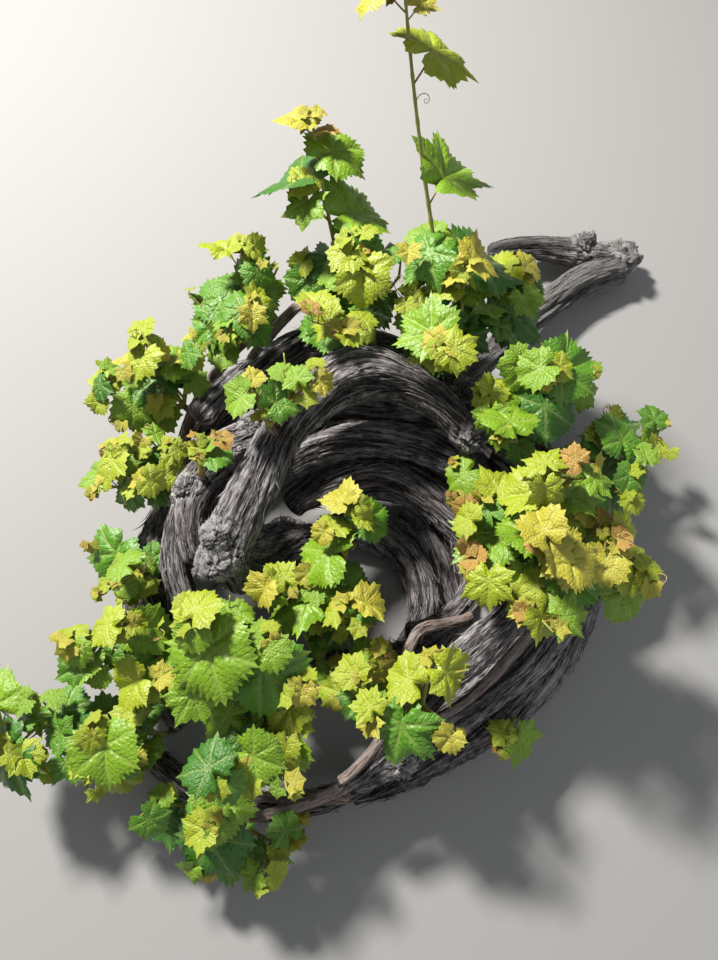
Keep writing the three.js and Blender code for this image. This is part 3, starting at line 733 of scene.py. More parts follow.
def grow_tendrils(name, shoots, box, random):
    """Thin curling tendrils from the outer half of the shoots, where there is room for them."""
    tendrils = []
    for shoot in shoots:
        if random() > TENDRIL_CHANCE:
            continue
        line = shoot["line"]
        share = chance(TENDRIL_FROM, random)
        length = chance(TENDRIL_LENGTH, random)
        start = through(line, share)
        way = unit(heading(360 * random(), 20 + 40 * random()) + unit(line[-1] - line[0]) * 0.8)
        across = unit(np.cross(way, UP))
        lift = np.cross(across, way)
        turns = chance(TENDRIL_TURNS, random)
        points = []
        at = start
        for i in range(TENDRIL_STEPS):
            u = i / (TENDRIL_STEPS - 1)
            angle = 2 * math.pi * turns * u**2.6
            step = way * math.cos(angle) + (across * 0.8 + lift * 0.6) * math.sin(angle)
            at = at + unit(step - UP * TENDRIL_SAG * u) * length / TENDRIL_STEPS * (1 - 0.5 * u)
            points.append(at)
        points = np.array(points)
        if fits(points[3:], name) and inside(points, box):
            tendrils.append(np.vstack([start, points]))
    return tendrils


# Meshes made from arrays of points, and from one operator.
def mesh_from_arrays(name, points, faces, materials=(), corner_map=None, values=None):
    """A mesh from points and blocks of faces. A block has rows of corners and a material's number."""
    corners = np.concatenate([block.ravel() for block, _ in faces])
    sizes = np.concatenate([np.full(len(block), block.shape[1]) for block, _ in faces])
    numbers = np.concatenate([np.broadcast_to(number, len(block)) for block, number in faces])
    mesh = bpy.data.meshes.new(name)
    mesh.vertices.add(len(points))
    mesh.vertices.foreach_set("co", np.asarray(points, dtype=np.float32).ravel())
    mesh.loops.add(len(corners))
    mesh.loops.foreach_set("vertex_index", corners.astype(np.int32))
    mesh.polygons.add(len(sizes))
    mesh.polygons.foreach_set("loop_start", np.concatenate([[0], np.cumsum(sizes)[:-1]]).astype(np.int32))
    mesh.polygons.foreach_set("use_smooth", np.ones(len(sizes), dtype=bool))
    for material in materials:
        mesh.materials.append(material)
    if materials:
        mesh.polygons.foreach_set("material_index", numbers.astype(np.int32))
    mesh.update(calc_edges=True)
    if corner_map is not None:
        layer = mesh.uv_layers.new(name="veins")
        layer.uv.foreach_set("vector", np.asarray(corner_map, dtype=np.float32).ravel())
    for label, numbers_at in (values or {}).items():
        set_attribute(mesh, label, numbers_at)
    return mesh


def set_attribute(mesh, label, numbers_at):
    """Stores a number or a vector at each point of a mesh."""
    numbers_at = np.asarray(numbers_at, dtype=np.float32)
    kind, key = ("FLOAT_VECTOR", "vector") if numbers_at.ndim > 1 else ("FLOAT", "value")
    layer = mesh.attributes.new(label, kind, "POINT")
    layer.data.foreach_set(key, numbers_at.ravel())


def mesh_by(name, operator, **options):
    """A mesh made by one bmesh operator."""
    shape = bmesh.new()
    operator(shape, **options)
    mesh = bpy.data.meshes.new(name)
    shape.to_mesh(mesh)
    shape.free()
    return mesh


def points_of(mesh):
    """A mesh's points, a row for each."""
    flat = np.empty(len(mesh.vertices) * 3, dtype=np.float32)
    mesh.vertices.foreach_get("co", flat)
    return flat.reshape(-1, 3)


def move_points(mesh, points):
    """Moves a mesh's points to places in millimetres."""
    mesh.vertices.foreach_set("co", (points * MM).astype(np.float32).ravel())


def add_piece(name, mesh, nodes):
    """Puts a finished mesh in the scene in place of CAD nodes."""
    piece = bpy.data.objects.new(name, mesh)
    bpy.context.scene.collection.objects.link(piece)
    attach(piece, "root")
    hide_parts(*nodes)
    return piece


def turned_frames(axis):
    """Two directions across a line at each of its points, which turn as little as they can."""
    side = UP if abs(axis[0][2]) < 0.9 else np.array([1.0, 0.0, 0.0])
    sides = []
    for way in axis:
        side = unit(side - way * side.dot(way))
        sides.append(side)
    sides = np.array(sides)
    return sides, np.cross(axis, sides)


def ways_out(side, across, angle):
    """The ways out at angles round a line, from two directions across it at each point."""
    return side[:, None] * np.cos(angle)[:, None] + across[:, None] * np.sin(angle)[:, None]


class Sticks:
    """Many thin closed tubes gathered in one mesh."""

    def __init__(self):
        self.points = []
        self.faces = []
        self.count = 0

    def add(self, line, radii, sides, number=0):
        """One tube round a line, in millimetres, closed by a point at each end."""
        line = np.asarray(line, dtype=float)
        side, across = turned_frames(unit(np.gradient(line, axis=0)))
        angle = np.arange(sides) * 2 * math.pi / sides
        rings = line[:, None] + ways_out(side, across, angle) * np.asarray(radii)[:, None, None]
        first = self.count
        self.points.append(np.vstack([line[:1], rings.reshape(-1, 3), line[-1:]]) * MM)
        ring = first + 1 + np.arange(len(line))[:, None] * sides + np.arange(sides)
        after = np.roll(ring, -1, axis=1)
        walls = np.stack([ring[:-1], after[:-1], after[1:], ring[1:]], axis=-1).reshape(-1, 4)
        last = first + 1 + len(line) * sides
        start = np.stack([np.full(sides, first), after[0], ring[0]], axis=-1)
        end = np.stack([np.full(sides, last), ring[-1], after[-1]], axis=-1)
        self.faces += [(walls, number), (start, number), (end, number)]
        self.count = last + 1

    def mesh(self, name, materials):
        """The gathered tubes as one mesh."""
        return mesh_from_arrays(name, np.concatenate(self.points), self.faces, materials)


# Leaves. A blade's outline goes round its stalk's end from tip of lobe to notch and on.
OUTLINE = (
    (0, 1.0), (30, 0.87), (54, 0.96), (83, 0.82), (112, 0.86), (136, 0.74), (158, 0.66), (180, 0.14),
)
MAIN_VEINS = (0, 54, 112)
LAST_EDGE = 173
POINTED = 0.95
TOOTH = 0.065
BLADE_SHARE = 0.94
BLADE_KINDS = (
    {"from": 46, "columns": (11, 11, 9), "rings": (0.28, 0.56, 0.82, 1.0)},
    {"from": 22, "columns": (5, 5, 5), "rings": (0.4, 0.75, 1.0)},
    {"from": 0, "columns": (3, 3, 1), "rings": (0.55, 1.0)},
)
VEIN_WIDTH = (1.5, 0.3)
LEAF_THICK = 0.45

# What chance does to each blade. A pair is the least value and what chance adds to it. Reach is
# the outline's, notch is how much deeper its notches can be, and jag is the size of its teeth. A
# lobe bends from a share of its reach on. A young blade folds up more.
REACH_SPREAD = 0.14
NOTCH_SPREAD = 0.3
NOTCH_POWER = 1.6
JAG = (0.25, 1.3)
SWELL = (0.12, 0.14)
BEND = (0.15, -0.75)
BEND_FROM = 0.4
WAVE = (0.02, 0.045)
WAVES = 7
FOLD_YOUNG = 0.45
FOLD = (-0.14, 0.5)


class Blade:
    """The columns and faces that every blade of one kind shares."""

    def __init__(self, columns, rings):
        half = []
        edges = (*MAIN_VEINS, LAST_EDGE)
        for i, count in enumerate(columns):
            half.append((edges[i], 1, 1.2, 0.0))
            for k in range(1, count + 1):
                share = k / (count + 1)
                turn = edges[i] + (edges[i + 1] - edges[i]) * share
                half.append((turn, 0, 1 if k % 2 == 0 else -1, math.sin(math.pi * share)))
            if i + 1 < len(MAIN_VEINS):
                half.append((edges[i + 1], -1, 1.2, 0.0))
        back = [(-turn, -offset, tooth, swell) for turn, offset, tooth, swell in reversed(half)]
        table = np.array([*half, (180, 0, 0, 0), *back])
        self.turn, self.offset, self.tooth, self.swell = table.T
        self.rings = np.array(rings)
        count = len(self.turn)
        inner = len(rings) - 1
        column = np.arange(count)
        after = np.roll(column, -1)
        top = [1 + ring * count + column for ring in range(inner + 1)]
        under_middle = 1 + (inner + 1) * count
        under = [under_middle + 1 + ring * count + column for ring in range(inner)] + [top[-1]]
        centre = np.zeros(count, dtype=int)
        fan = np.stack([centre, top[0][after], top[0]], axis=-1)
        walls = [np.stack([a, a[after], b[after], b], axis=-1) for a, b in zip(top, top[1:])]
        under_fan = np.stack([centre + under_middle, under[0], under[0][after]], axis=-1)
        under_walls = [np.stack([a, b, b[after], a[after]], axis=-1) for a, b in zip(under, under[1:])]
        vein = (self.offset != 0) & (np.roll(self.turn, -1) == self.turn)
        self.fans = [(fan, np.where(vein, 2, 0)), (under_fan, np.where(vein, 2, 1))]
        self.walls = [(wall, np.where(vein, 2, 0)) for wall in walls]
        self.walls += [(wall, np.where(vein, 2, 1)) for wall in under_walls]
        self.rim = top[-1]
        self.size = under_middle + 1 + inner * count
        between = np.abs(self.turn + np.roll(self.turn, -1)) / 2
        nearest = np.abs(between[:, None] - np.array(MAIN_VEINS)).argmin(axis=1)
        self.vein_turn = np.array(MAIN_VEINS)[nearest]

    def reach(self, random):
        """How far a blade's outline reaches in each column, a little different for every leaf."""
        turns, reaches = (np.array(values, dtype=float) for values in zip(*OUTLINE))
        reaches = reaches * (1 + REACH_SPREAD * (np.array([random() for _ in reaches]) - 0.5))
        reaches[1:7:2] *= 1 - NOTCH_SPREAD * random() ** NOTCH_POWER
        turn = np.abs(self.turn)
        k = np.clip(np.searchsorted(turns, turn, side="right") - 1, 0, len(turns) - 2)
        share = (turn - turns[k]) / (turns[k + 1] - turns[k])
        outwards = reaches[k + 1] > reaches[k]
        share = np.where(outwards, 1 - share, share)
        tip = np.maximum(reaches[k], reaches[k + 1])
        notch = np.minimum(reaches[k], reaches[k + 1])
        reach = notch + (tip - notch) * (1 - share) ** POINTED
        jag = np.array([chance(JAG, random) for _ in turn])
        return reach * (1 + TOOTH * self.tooth * jag)


class Leaves:
    """Many leaves gathered in one mesh, each with a shape of its own."""

    def __init__(self):
        self.points = []
        self.faces = []
        self.corners = []
        self.rims = []
        self.count = 0

    def add(self, leaf, blade, random, young):
        """One blade at a leaf's place. A young one is folded up along its midrib."""
        reach = blade.reach(random)
        rings = blade.rings[:, None]
        size = leaf["size"] * BLADE_SHARE
        width = (VEIN_WIDTH[0] + (VEIN_WIDTH[1] - VEIN_WIDTH[0]) * rings) * min(1, size / 60)
        cos, sin = np.cos(np.radians(blade.turn)), np.sin(np.radians(blade.turn))
        aside = blade.offset * width / 2 / size
        x = rings * reach * cos - aside * sin
        y = rings * reach * sin + aside * cos
        z = self.height(x, y, rings, blade, random, young)
        flat = np.stack([x, y, z], axis=-1).reshape(-1, 3)
        top = np.vstack([[0, 0, 0], flat])
        inner = (len(blade.rings) - 1) * len(blade.turn)
        under = top[: 1 + inner] - (0, 0, LEAF_THICK / size)
        local = np.vstack([top, under]) * size
        basis = np.stack([leaf["mid"], leaf["side"], leaf["normal"]])
        self.points.append((leaf["seat"] + local @ basis) * MM)
        plan = np.vstack([top[:, :2], under[:, :2]])
        for block, number in (*blade.fans, *blade.walls):
            self.faces.append((block + self.count, number))
            self.corners.append(vein_map(plan[block], blade.vein_turn))
        self.rims.append(blade.rim + self.count)
        self.count += blade.size

    def height(self, x, y, rings, blade, random, young):
        """How a blade swells between its veins, cups, folds, bends its lobes and waves at its edge."""
        cup = -CUP * ((x - BLADE_MIDDLE) ** 2 + y**2 - BLADE_MIDDLE**2) / 0.5
        swell = chance(SWELL, random) * blade.swell * rings * (1.15 - rings)
        bends = [chance(BEND, random) for _ in range(6)]
        bend = np.interp(blade.turn, (-180, -112, -54, 0, 54, 112, 180), (*bends, bends[0]))
        lobes = bend * np.maximum(0, rings - BEND_FROM) ** 2
        wave = chance(WAVE, random) * rings**3
        wave = wave * np.sin(np.radians(blade.turn) * WAVES + 6.3 * random())
        fold = (FOLD_YOUNG * young**2 + chance(FOLD, random)) * np.abs(y)
        return cup + swell + lobes + wave + fold

    def mesh(self, name, materials):
        """The gathered leaves as one mesh, with a sharp edge round each blade."""
        corner_map = np.concatenate([block.reshape(-1, 2) for block in self.corners])
        mesh = mesh_from_arrays(name, np.concatenate(self.points), self.faces, materials, corner_map)
        on_rim = np.zeros(self.count, dtype=bool)
        on_rim[np.concatenate(self.rims)] = True
        ends = np.empty(len(mesh.edges) * 2, dtype=np.int32)
        mesh.edges.foreach_get("vertices", ends)
        sharp = on_rim[ends].reshape(-1, 2).all(axis=1)
        mesh.attributes.new("sharp_edge", "BOOLEAN", "EDGE").data.foreach_set("value", sharp)
        return mesh


def vein_map(plan, vein_turn):
    """How far each corner of a blade's faces is along its nearest main vein, and away from it."""
    turn = np.radians(vein_turn)[:, None]
    x, y = plan[..., 0], np.abs(plan[..., 1])
    along = x * np.cos(turn) + y * np.sin(turn)
    away = np.abs(y * np.cos(turn) - x * np.sin(turn))
    return np.stack([along, away], axis=-1)


# Wood.
NOISE_STEPS = np.array([374761393, 668265263, 1274126177])


def scatter(corners, seed):
    """A random value from 0 to 1 for each whole-number corner."""
    mixed = (corners * NOISE_STEPS).sum(axis=-1) + seed * 15731
    mixed = ((mixed ^ (mixed >> 13)) * 1103515245) & MASK
    mixed = ((mixed ^ (mixed >> 16)) * 668265263) & MASK
    return (mixed ^ (mixed >> 15)) / (MASK + 1)


def noise(points, seed):
    """Smooth noise from -1 to 1 at points, from one random value at each whole-number corner."""
    base = np.floor(points).astype(np.int64)
    part = points - base
    ease = part * part * (3 - 2 * part)
    total = 0
    for corner in np.ndindex(2, 2, 2):
        weight = np.prod(np.where(corner, ease, 1 - ease), axis=-1)
        total = total + (2 * scatter(base + corner, seed) - 1) * weight
    return total


def noise_ways(points, seed):
    """Smooth noise in each of three directions."""
    return np.stack([noise(points, seed + k) for k in range(3)], axis=-1)


def noise_along(run, lane, seed):
    """Smooth noise along a line, different in each lane."""
    return noise(np.stack([run, run * 0 + lane, run * 0], axis=-1), seed)


def ridges(points, seed, power):
    """Rounded ridges between sharp grooves, from 0 to 1."""
    return np.clip(np.abs(noise(points, seed)) * 1.8, 0, 1) ** power


def plates(points, seed):
    """Uneven plates: how far each point is from a crack, and the height of its plate."""
    base = np.floor(points).astype(np.int64)
    nearest = np.full(points.shape[:-1], 9.0)
    second = nearest
    height = nearest * 0
    for offset in np.ndindex(3, 3, 3):
        corner = base + offset - 1
        jitter = np.stack([scatter(corner, seed + k) for k in range(3)], axis=-1)
        away = np.linalg.norm(points - corner - 0.1 - 0.8 * jitter, axis=-1)
        nearer = away < nearest
        second = np.where(nearer, nearest, np.minimum(second, away))
        height = np.where(nearer, scatter(corner, seed + 3), height)
        nearest = np.where(nearer, away, nearest)
    return second - nearest, height


# Kinds of bark. Column and step give the size of its faces round and along a limb, depth is from
# its cracks to its highest plates, and shade reach is how far from another arm the bark is sunk and
# painted with shade. Rope, plate, strand and fibre are how wide its layers are. There is one strip
# for so many square millimetres, with a length and a width as the least value and what chance adds to it.
BARKS = {
    "old": {
        "column": 1.65, "step": 3.2, "twist": 0.003, "depth": 7.5, "shade_reach": 13,
        "rope": 24, "plate": 11, "strand": 5, "fibre": 2.6,
        "strips_each": 260, "length": (20, 60), "width": (1.2, 2.8), "lift": 13,
    },
    "bleached": {
        "column": 2, "step": 4, "twist": 0.002, "depth": 8, "shade_reach": 8,
        "rope": 20, "plate": 13, "strand": 7, "fibre": 3.6,
        "strips_each": 900, "length": (30, 60), "width": (1.2, 2.2), "lift": 6,
    },
    "cane": {
        "column": 1.7, "step": 3.5, "twist": 0.004, "depth": 2.2, "shade_reach": 3,
        "rope": 9, "plate": 6, "strand": 3.6, "fibre": 2,
        "strips_each": 420, "length": (26, 60), "width": (0.7, 1.3), "lift": 6,
    },
}


class Limb:
    """The grid of points over one limb's bark, with what lies under each point."""

    def __init__(self, centre, radius, bark, seed, flat_start=False, knobs=()):
        self.bark = bark
        self.seed = seed
        self.columns = int(2 * math.pi * radius.mean() / bark["column"])
        steps = np.linalg.norm(np.diff(centre, axis=0), axis=1)
        run = np.concatenate([[0], np.cumsum(steps)])
        axis = unit(np.gradient(centre, axis=0))
        bell = np.sin(np.linspace(0, math.pi, len(centre)))[:, None] ** 0.5
        drift = np.stack([noise_along(run / WANDER_LENGTH, k, seed) for k in range(3)], axis=-1)
        centre = centre + drift * WANDER * bell
        dome = np.arange(CAP_ROWS) / CAP_ROWS * math.pi / 2
        flat = 0 if flat_start else CAP_LENGTH
        start = centre[0] - axis[0] * (np.cos(dome) * flat * radius[0])[:, None]
        end = centre[-1] + axis[-1] * (np.cos(dome[::-1]) * CAP_LENGTH * radius[-1])[:, None]
        self.centre = np.vstack([start, centre, end])
        self.axis = np.pad(axis, ((CAP_ROWS, CAP_ROWS), (0, 0)), mode="edge")
        self.radius = np.pad(radius, CAP_ROWS, mode="edge")
        self.fullness = np.concatenate([np.sin(dome), np.ones(len(centre)), np.sin(dome[::-1])])
        before = run[0] - np.linalg.norm(start - centre[0], axis=1)
        after = run[-1] + np.linalg.norm(end - centre[-1], axis=1)
        self.run = np.concatenate([before, run, after])
        self.length = run[-1]
        self.side, self.across = turned_frames(self.axis)
        angle = np.linspace(0, 2 * math.pi, self.columns + 1)
        turn = self.turned(angle[None, :], self.run[:, None])
        self.grain = self.grain_at(turn, np.broadcast_to(self.run[:, None], turn.shape))
        # Painted shade: the relief, which sets the bark's height and its colour, is lowered where another
        # arm comes close.
        self.relief = self.grow_bark() * self.painted_crevice_shade(angle)
        self.place, self.pale = self.surface(angle, turn, knobs)

    def turned(self, angle, run):
        """The angle of the grain that passes an angle round the limb, as the grain winds along it."""
        way = 1 if self.seed % 2 else -1
        sway = noise_along(run / SWAY_LENGTH, 5, self.seed)
        return angle + way * self.bark["twist"] * run + SWAY * sway

    def grain_at(self, turn, run):
        """A place in the bark's grain, which is drawn out along the limb."""
        girth = self.radius.mean()
        return np.stack([girth * np.cos(turn), girth * np.sin(turn), run * GRAIN_STRETCH], axis=-1)

    def grow_bark(self):
        """The bark's relief, from 0 in its cracks to 1 on its highest plates."""
        bark, seed = self.bark, self.seed
        grain = self.grain + noise_ways(self.grain / 12, seed + 20) * 4
        crack, height = plates(grain / bark["plate"], seed + 1)
        edge = np.clip(crack * 5, 0, 1)
        strands = ridges(grain / bark["strand"], seed + 5, 0.8)
        fibres = ridges(grain / bark["fibre"], seed + 6, 0.9)
        plate = edge * (PLATE_RELIEF[0] + PLATE_RELIEF[1] * height)
        whole = plate + STRAND_RELIEF * strands + FIBRE_RELIEF * fibres
        furrow = np.clip(np.abs(noise(grain / bark["rope"], seed + 7)) * 6, 0, 1)
        return whole * (FURROW_RELIEF[0] + FURROW_RELIEF[1] * furrow)

    def painted_crevice_shade(self, angle):
        """Painted shade near other arms: the relief is lowered where the bark comes close to another arm,
        which sinks it a little and darkens it towards the groove shade.
        """
        rows = np.arange(0, len(self.run), 3)
        columns = np.linspace(0, self.columns, 17)
        out = ways_out(self.side[rows], self.across[rows], angle[columns.astype(int)])
        skin = self.centre[rows, None] + out * self.radius[rows, None, None]
        away = np.linalg.norm(skin[:, :, None] - WOOD_POINTS, axis=-1)
        from_middle = np.linalg.norm(self.centre[rows, None] - WOOD_POINTS, axis=-1)
        own = from_middle < self.radius[rows, None] * OWN_WOOD
        gap = np.where(own[:, None], 99, away - WOOD_RADII).min(axis=-1)
        unshaded_share = np.clip(RELIEF_IN_SHADE + gap / self.bark["shade_reach"], RELIEF_IN_SHADE, 1)
        every_column, every_row = np.arange(len(angle)), np.arange(len(self.run))
        across = np.array([np.interp(every_column, columns, row) for row in unshaded_share])
        return np.stack([np.interp(every_row, rows, column) for column in across.T], axis=-1)

    def surface(self, angle, turn, knobs):
        """Where the bark's points are, and how pale and crumbled they are near a knob."""
        swell = 0.6 * np.cos(3 * turn + self.seed) + 0.4 * np.cos(5 * turn + 2 * self.seed)
        swell += 1.2 * noise(self.grain / (26, 26, 12), self.seed + 3)
        reach = self.radius[:, None] * (1 + LOBE_SHARE * swell)
        out = ways_out(self.side, self.across, angle)
        near = np.zeros(turn.shape)
        skin = self.centre[:, None] + out * reach[..., None]
        for at, radius in knobs:
            away = np.linalg.norm(skin - at, axis=-1) / radius
            near = np.maximum(near, np.clip(KNOB_SPREAD - away, 0, 1))
        if knobs:
            bent = skin + 5 * noise_ways(skin / 9, self.seed + 50)
            crack, height = plates(bent / (17, 17, 12), self.seed + 40)
            crumbs = np.clip(crack * 6, 0, 1) * (0.3 + 0.7 * height)
            self.relief = self.relief + near * (0.75 * crumbs + 0.25 * self.relief - self.relief)
            reach = reach + near * KNOB_RELIEF * (crumbs - 0.25)
        reach = (reach + self.bark["depth"] * (self.relief - RELIEF_MIDDLE)) * self.fullness[:, None]
        place = self.centre[:, None] + out * reach[..., None]
        place[..., 2] = np.maximum(place[..., 2], FLOOR_CLEAR)
        return place, near * 0.5

    def bark_mesh(self, name):
        """The bark as a closed tube: a flat grid, wrapped round the limb and joined at its seam."""
        rows, columns = self.place.shape[:2]
        grid = bmesh.ops.create_grid
        mesh = mesh_by(name, grid, x_segments=columns - 1, y_segments=rows - 1, size=1)
        flat = points_of(mesh)
        share = (flat - flat.min()) / (flat.max() - flat.min())
        column = np.rint(share[:, 0] * (columns - 1)).astype(int)
        row = np.rint(share[:, 1] * (rows - 1)).astype(int)
        move_points(mesh, self.place[row, column])
        set_attribute(mesh, "grain", self.grain[row, column] * MM)
        set_attribute(mesh, "relief", self.relief[row, column])
        set_attribute(mesh, "pale", self.pale[row, column])
        shape = bmesh.new()
        shape.from_mesh(mesh)
        bmesh.ops.remove_doubles(shape, verts=shape.verts, dist=WELD)
        bmesh.ops.recalc_face_normals(shape, faces=shape.faces)
        shape.to_mesh(mesh)
        shape.free()
        mesh.shade_smooth()
        return mesh

    def strips_mesh(self, name, chances, share):
        """Loose strips of bark along the grain, each a thin closed sliver that lifts at its ends."""
        bark = self.bark
        area = self.length * 2 * math.pi * self.radius.mean()
        count = max(4, int(area / bark["strips_each"] * share))
        along = np.linspace(0, 1, STRIP_RINGS)

        def some(power=1):
            return chances.random((count, 1)) ** power

        start = (some() * 1.02 - 0.02) * self.length
        span = bark["length"][0] + bark["length"][1] * some(1.5)
        run = np.clip(start + span * (along - 0.3), 0, self.length)
        turn = 2 * math.pi * some()
        slant = (some() - 0.5) * 0.24 * (along - 0.5) + (some() - 0.5) * 0.1 * np.sin(5 * along)
        angle = turn - self.turned(0, run) + slant
        base, out = self.sample(angle, run)
        tip_lift = some(4) * np.maximum(0, along - 0.5) ** 2
        root_lift = some(6) * np.maximum(0, 0.4 - along) ** 2
        lift = bark["lift"] * (tip_lift + root_lift) * 5
        middle = base + out * (lift + 0.3)[..., None]
        ahead = unit(np.gradient(middle, axis=1) + self.axis[0] * 1e-6)
        aside = unit(np.cross(ahead, out))
        width = bark["width"][0] + bark["width"][1] * some(2)
        width = (width * (0.12 + 0.88 * np.sin(math.pi * along) ** 0.6))[..., None]
        edge, crown = aside * width / 2, out * width * 0.3
        place = np.stack([middle - edge - crown, middle + crown, middle + edge - crown], axis=2)
        place[..., 2] = np.maximum(place[..., 2], FLOOR_CLEAR)
        point = np.arange(count * STRIP_RINGS * 3).reshape(count, STRIP_RINGS, 3)
        after = np.roll(point, -1, axis=2)
        walls = np.stack([point[:, :-1], after[:, :-1], after[:, 1:], point[:, 1:]], axis=-1)
        ends = np.vstack([point[:, 0, ::-1], point[:, -1]])
        grain = self.grain_at(turn + 0 * run, run)[:, :, None] + (place - base[:, :, None])
        tone = 0.2 + 0.8 * some()[..., None] * np.array([0.7, 1.0, 0.7])
        values = {
            "grain": grain.reshape(-1, 3) * MM,
            "relief": np.broadcast_to(tone, point.shape).ravel(),
            "pale": np.zeros(point.size),
        }
        faces = [(walls.reshape(-1, 4), 0), (ends, 0)]
        return mesh_from_arrays(name, place.reshape(-1, 3) * MM, faces, values=values)

    def sample(self, angle, run):
        """Points on the bark at angles and runs, with the way out from the limb's middle."""
        between_caps = self.run[CAP_ROWS:-CAP_ROWS]
        rows = np.interp(run, between_caps, np.arange(len(between_caps))) + CAP_ROWS
        columns = (angle / (2 * math.pi)) % 1 * self.columns
        row, column = np.floor(rows).astype(int), np.floor(columns).astype(int)
        row = np.minimum(row, len(self.run) - 2)
        column = np.minimum(column, self.columns - 1)
        down, along = (rows - row)[..., None], (columns - column)[..., None]
        near = self.place[row, column] * (1 - along) + self.place[row, column + 1] * along
        far = self.place[row + 1, column] * (1 - along) + self.place[row + 1, column + 1] * along
        base = near * (1 - down) + far * down
        centre = self.centre[row] * (1 - down) + self.centre[row + 1] * down
        return base, unit(base - centre)


def bark_kind(name):
    """Which kind of bark a limb has."""
    if name.startswith("old_arm"):
        return "bleached"
    return "cane" if name.endswith("cane") else "old"


def knobs_on(name, size=1.0):
    """Where the knobs of one arm are, and their radii."""
    arm = ARMS[name]
    placed = []
    for arm_name, turn, face, lift, radius in KNOBS:
        if arm_name == name:
            share = share_at(arm, turn)
            half = through(arm["thick"], share) / 2
            at = arm_point(arm, share) + heading(face, lift) * (half - radius * KNOB_SUNK)
            placed.append((at, radius * size))
    return placed


def arm_limb(name, seed):
    """The limb of one arm."""
    arm = ARMS[name]
    length = np.linalg.norm(np.diff(arm_point(arm, WOOD_SHARES), axis=0), axis=1).sum()
    bark = BARKS[bark_kind(name)]
    shares = np.linspace(0, 1, max(8, int(length / bark["step"])))
    return Limb(arm_point(arm, shares), through(arm["thick"], shares) / 2, bark, seed, knobs=knobs_on(name))


def trunk_limb():
    """The limb of the trunk, from its flat foot to its top."""
    heights, radii = (np.array(values, dtype=float) for values in zip(*TRUNK_RINGS))
    height = np.linspace(0, TRUNK_TOP[2], TRUNK_STEPS)
    share = height / TRUNK_TOP[2]
    lean = share * share * (3 - 2 * share)
    centre = np.stack([TRUNK_TOP[0] * lean, TRUNK_TOP[1] * lean, height], axis=-1)
    radius = np.interp(height, heights, radii)
    return Limb(centre, radius, BARKS["old"], TRUNK_SEED, flat_start=True)


def knob_mesh(name, at, radius, seed):
    """A craggy knob of old pruning wounds: a ball broken up into pale, crumbling lumps."""
    mesh = mesh_by(name, bmesh.ops.create_icosphere, subdivisions=5, radius=1)
    ball = unit(points_of(mesh).astype(float))
    bent = ball + 0.3 * noise_ways(ball * 3, seed + 9)
    crack, height = plates(bent * (1.3, 1.3, 1.8), seed)
    small_crack, small_height = plates(bent * 3.6, seed + 5)
    lumps = np.clip(crack * 7, 0, 1) * (0.2 + 0.8 * height)
    crumbs = np.clip(small_crack * 7, 0, 1) * (0.5 + 0.5 * small_height)
    grit = ridges(ball * 9, seed + 8, 0.8)
    relief = 0.5 * lumps + 0.3 * crumbs + 0.2 * grit
    rough = 0.66 + 0.34 * lumps + 0.1 * crumbs + 0.07 * grit
    reach = radius * (rough + 0.2 * noise(ball * 1.4, seed + 3))
    move_points(mesh, at + ball * reach[:, None])
    set_attribute(mesh, "grain", ball * radius * MM)
    set_attribute(mesh, "relief", relief)
    set_attribute(mesh, "pale", np.clip(0.5 * relief + 1.2 * noise(ball * 4, seed + 4), 0, 1))
    mesh.shade_smooth()
    return mesh


def join_meshes(name, meshes, material):
    """One mesh of one material, from several that have the same attributes."""
    shape = bmesh.new()
    for mesh in meshes:
        shape.from_mesh(mesh)
        bpy.data.meshes.remove(mesh)
    joined = bpy.data.meshes.new(name)
    shape.to_mesh(joined)
    shape.free()
    joined.materials.clear()
    joined.materials.append(material)
    return joined


def nodes_of(name):
    """The CAD nodes of one arm."""
    parts = ARMS[name]["parts"]
    return [f"{name}_{part + 1}" for part in range(parts)] if parts > 1 else [name]


# Materials.
def wire(tree, value, socket):
    """Links a socket to another, or sets its value."""
    if isinstance(value, bpy.types.NodeSocket):
        tree.links.new(value, socket)
    elif socket.type == "RGBA":
        socket.default_value = (*value[:3], 1)
    else:
        socket.default_value = value


def add_node(tree, kind, inputs, **settings):
    """A node with its settings, and its inputs linked or set by name or number."""
    node = tree.nodes.new(kind)
    node.location = (len(tree.nodes) * 180, 0)
    for key, value in settings.items():
        setattr(node, key, value)
    for key, value in inputs.items():
        wire(tree, value, node.inputs[key])
    return node


def calculate(tree, operation, *values):
    """The result of a Math node."""
    return add_node(tree, "ShaderNodeMath", dict(enumerate(values)), operation=operation).outputs[0]


def fade(tree, value, low, high):
    """A smooth step from 0 at a low value to 1 at a high one."""
    inputs = {"Value": value, "From Min": low, "From Max": high}
    return add_node(tree, "ShaderNodeMapRange", inputs, interpolation_type="SMOOTHSTEP").outputs[0]


def mix_colours(tree, share, first, second):
    """The first colour turning into the second by a share."""
    node = add_node(tree, "ShaderNodeMix", {0: share, 6: first, 7: second}, data_type="RGBA")
    return node.outputs[2]


def noise_in(tree, vector, scale, detail, roughness=0.6):
    """A Noise Texture's value."""
    inputs = {"Vector": vector, "Scale": scale, "Detail": detail, "Roughness": roughness}
    return add_node(tree, "ShaderNodeTexNoise", inputs).outputs["Fac"]


def new_group(name, inputs, outputs):
    """An empty shader node group with named sockets, its own inputs and its own outputs."""
    tree = bpy.data.node_groups.new(name, "ShaderNodeTree")
    for label, (kind, value) in inputs.items():
        socket = tree.interface.new_socket(label, in_out="INPUT", socket_type=kind)
        if value is not None:
            socket.default_value = value
    for label, kind in outputs.items():
        tree.interface.new_socket(label, in_out="OUTPUT", socket_type=kind)
    inside = tree.nodes.new("NodeGroupInput").outputs
    outside = tree.nodes.new("NodeGroupOutput").inputs
    return tree, inside, outside


COLOUR = "NodeSocketColor"
NUMBER = "NodeSocketFloat"
VECTOR = "NodeSocketVector"
GREY = (0.2, 0.2, 0.2, 1)

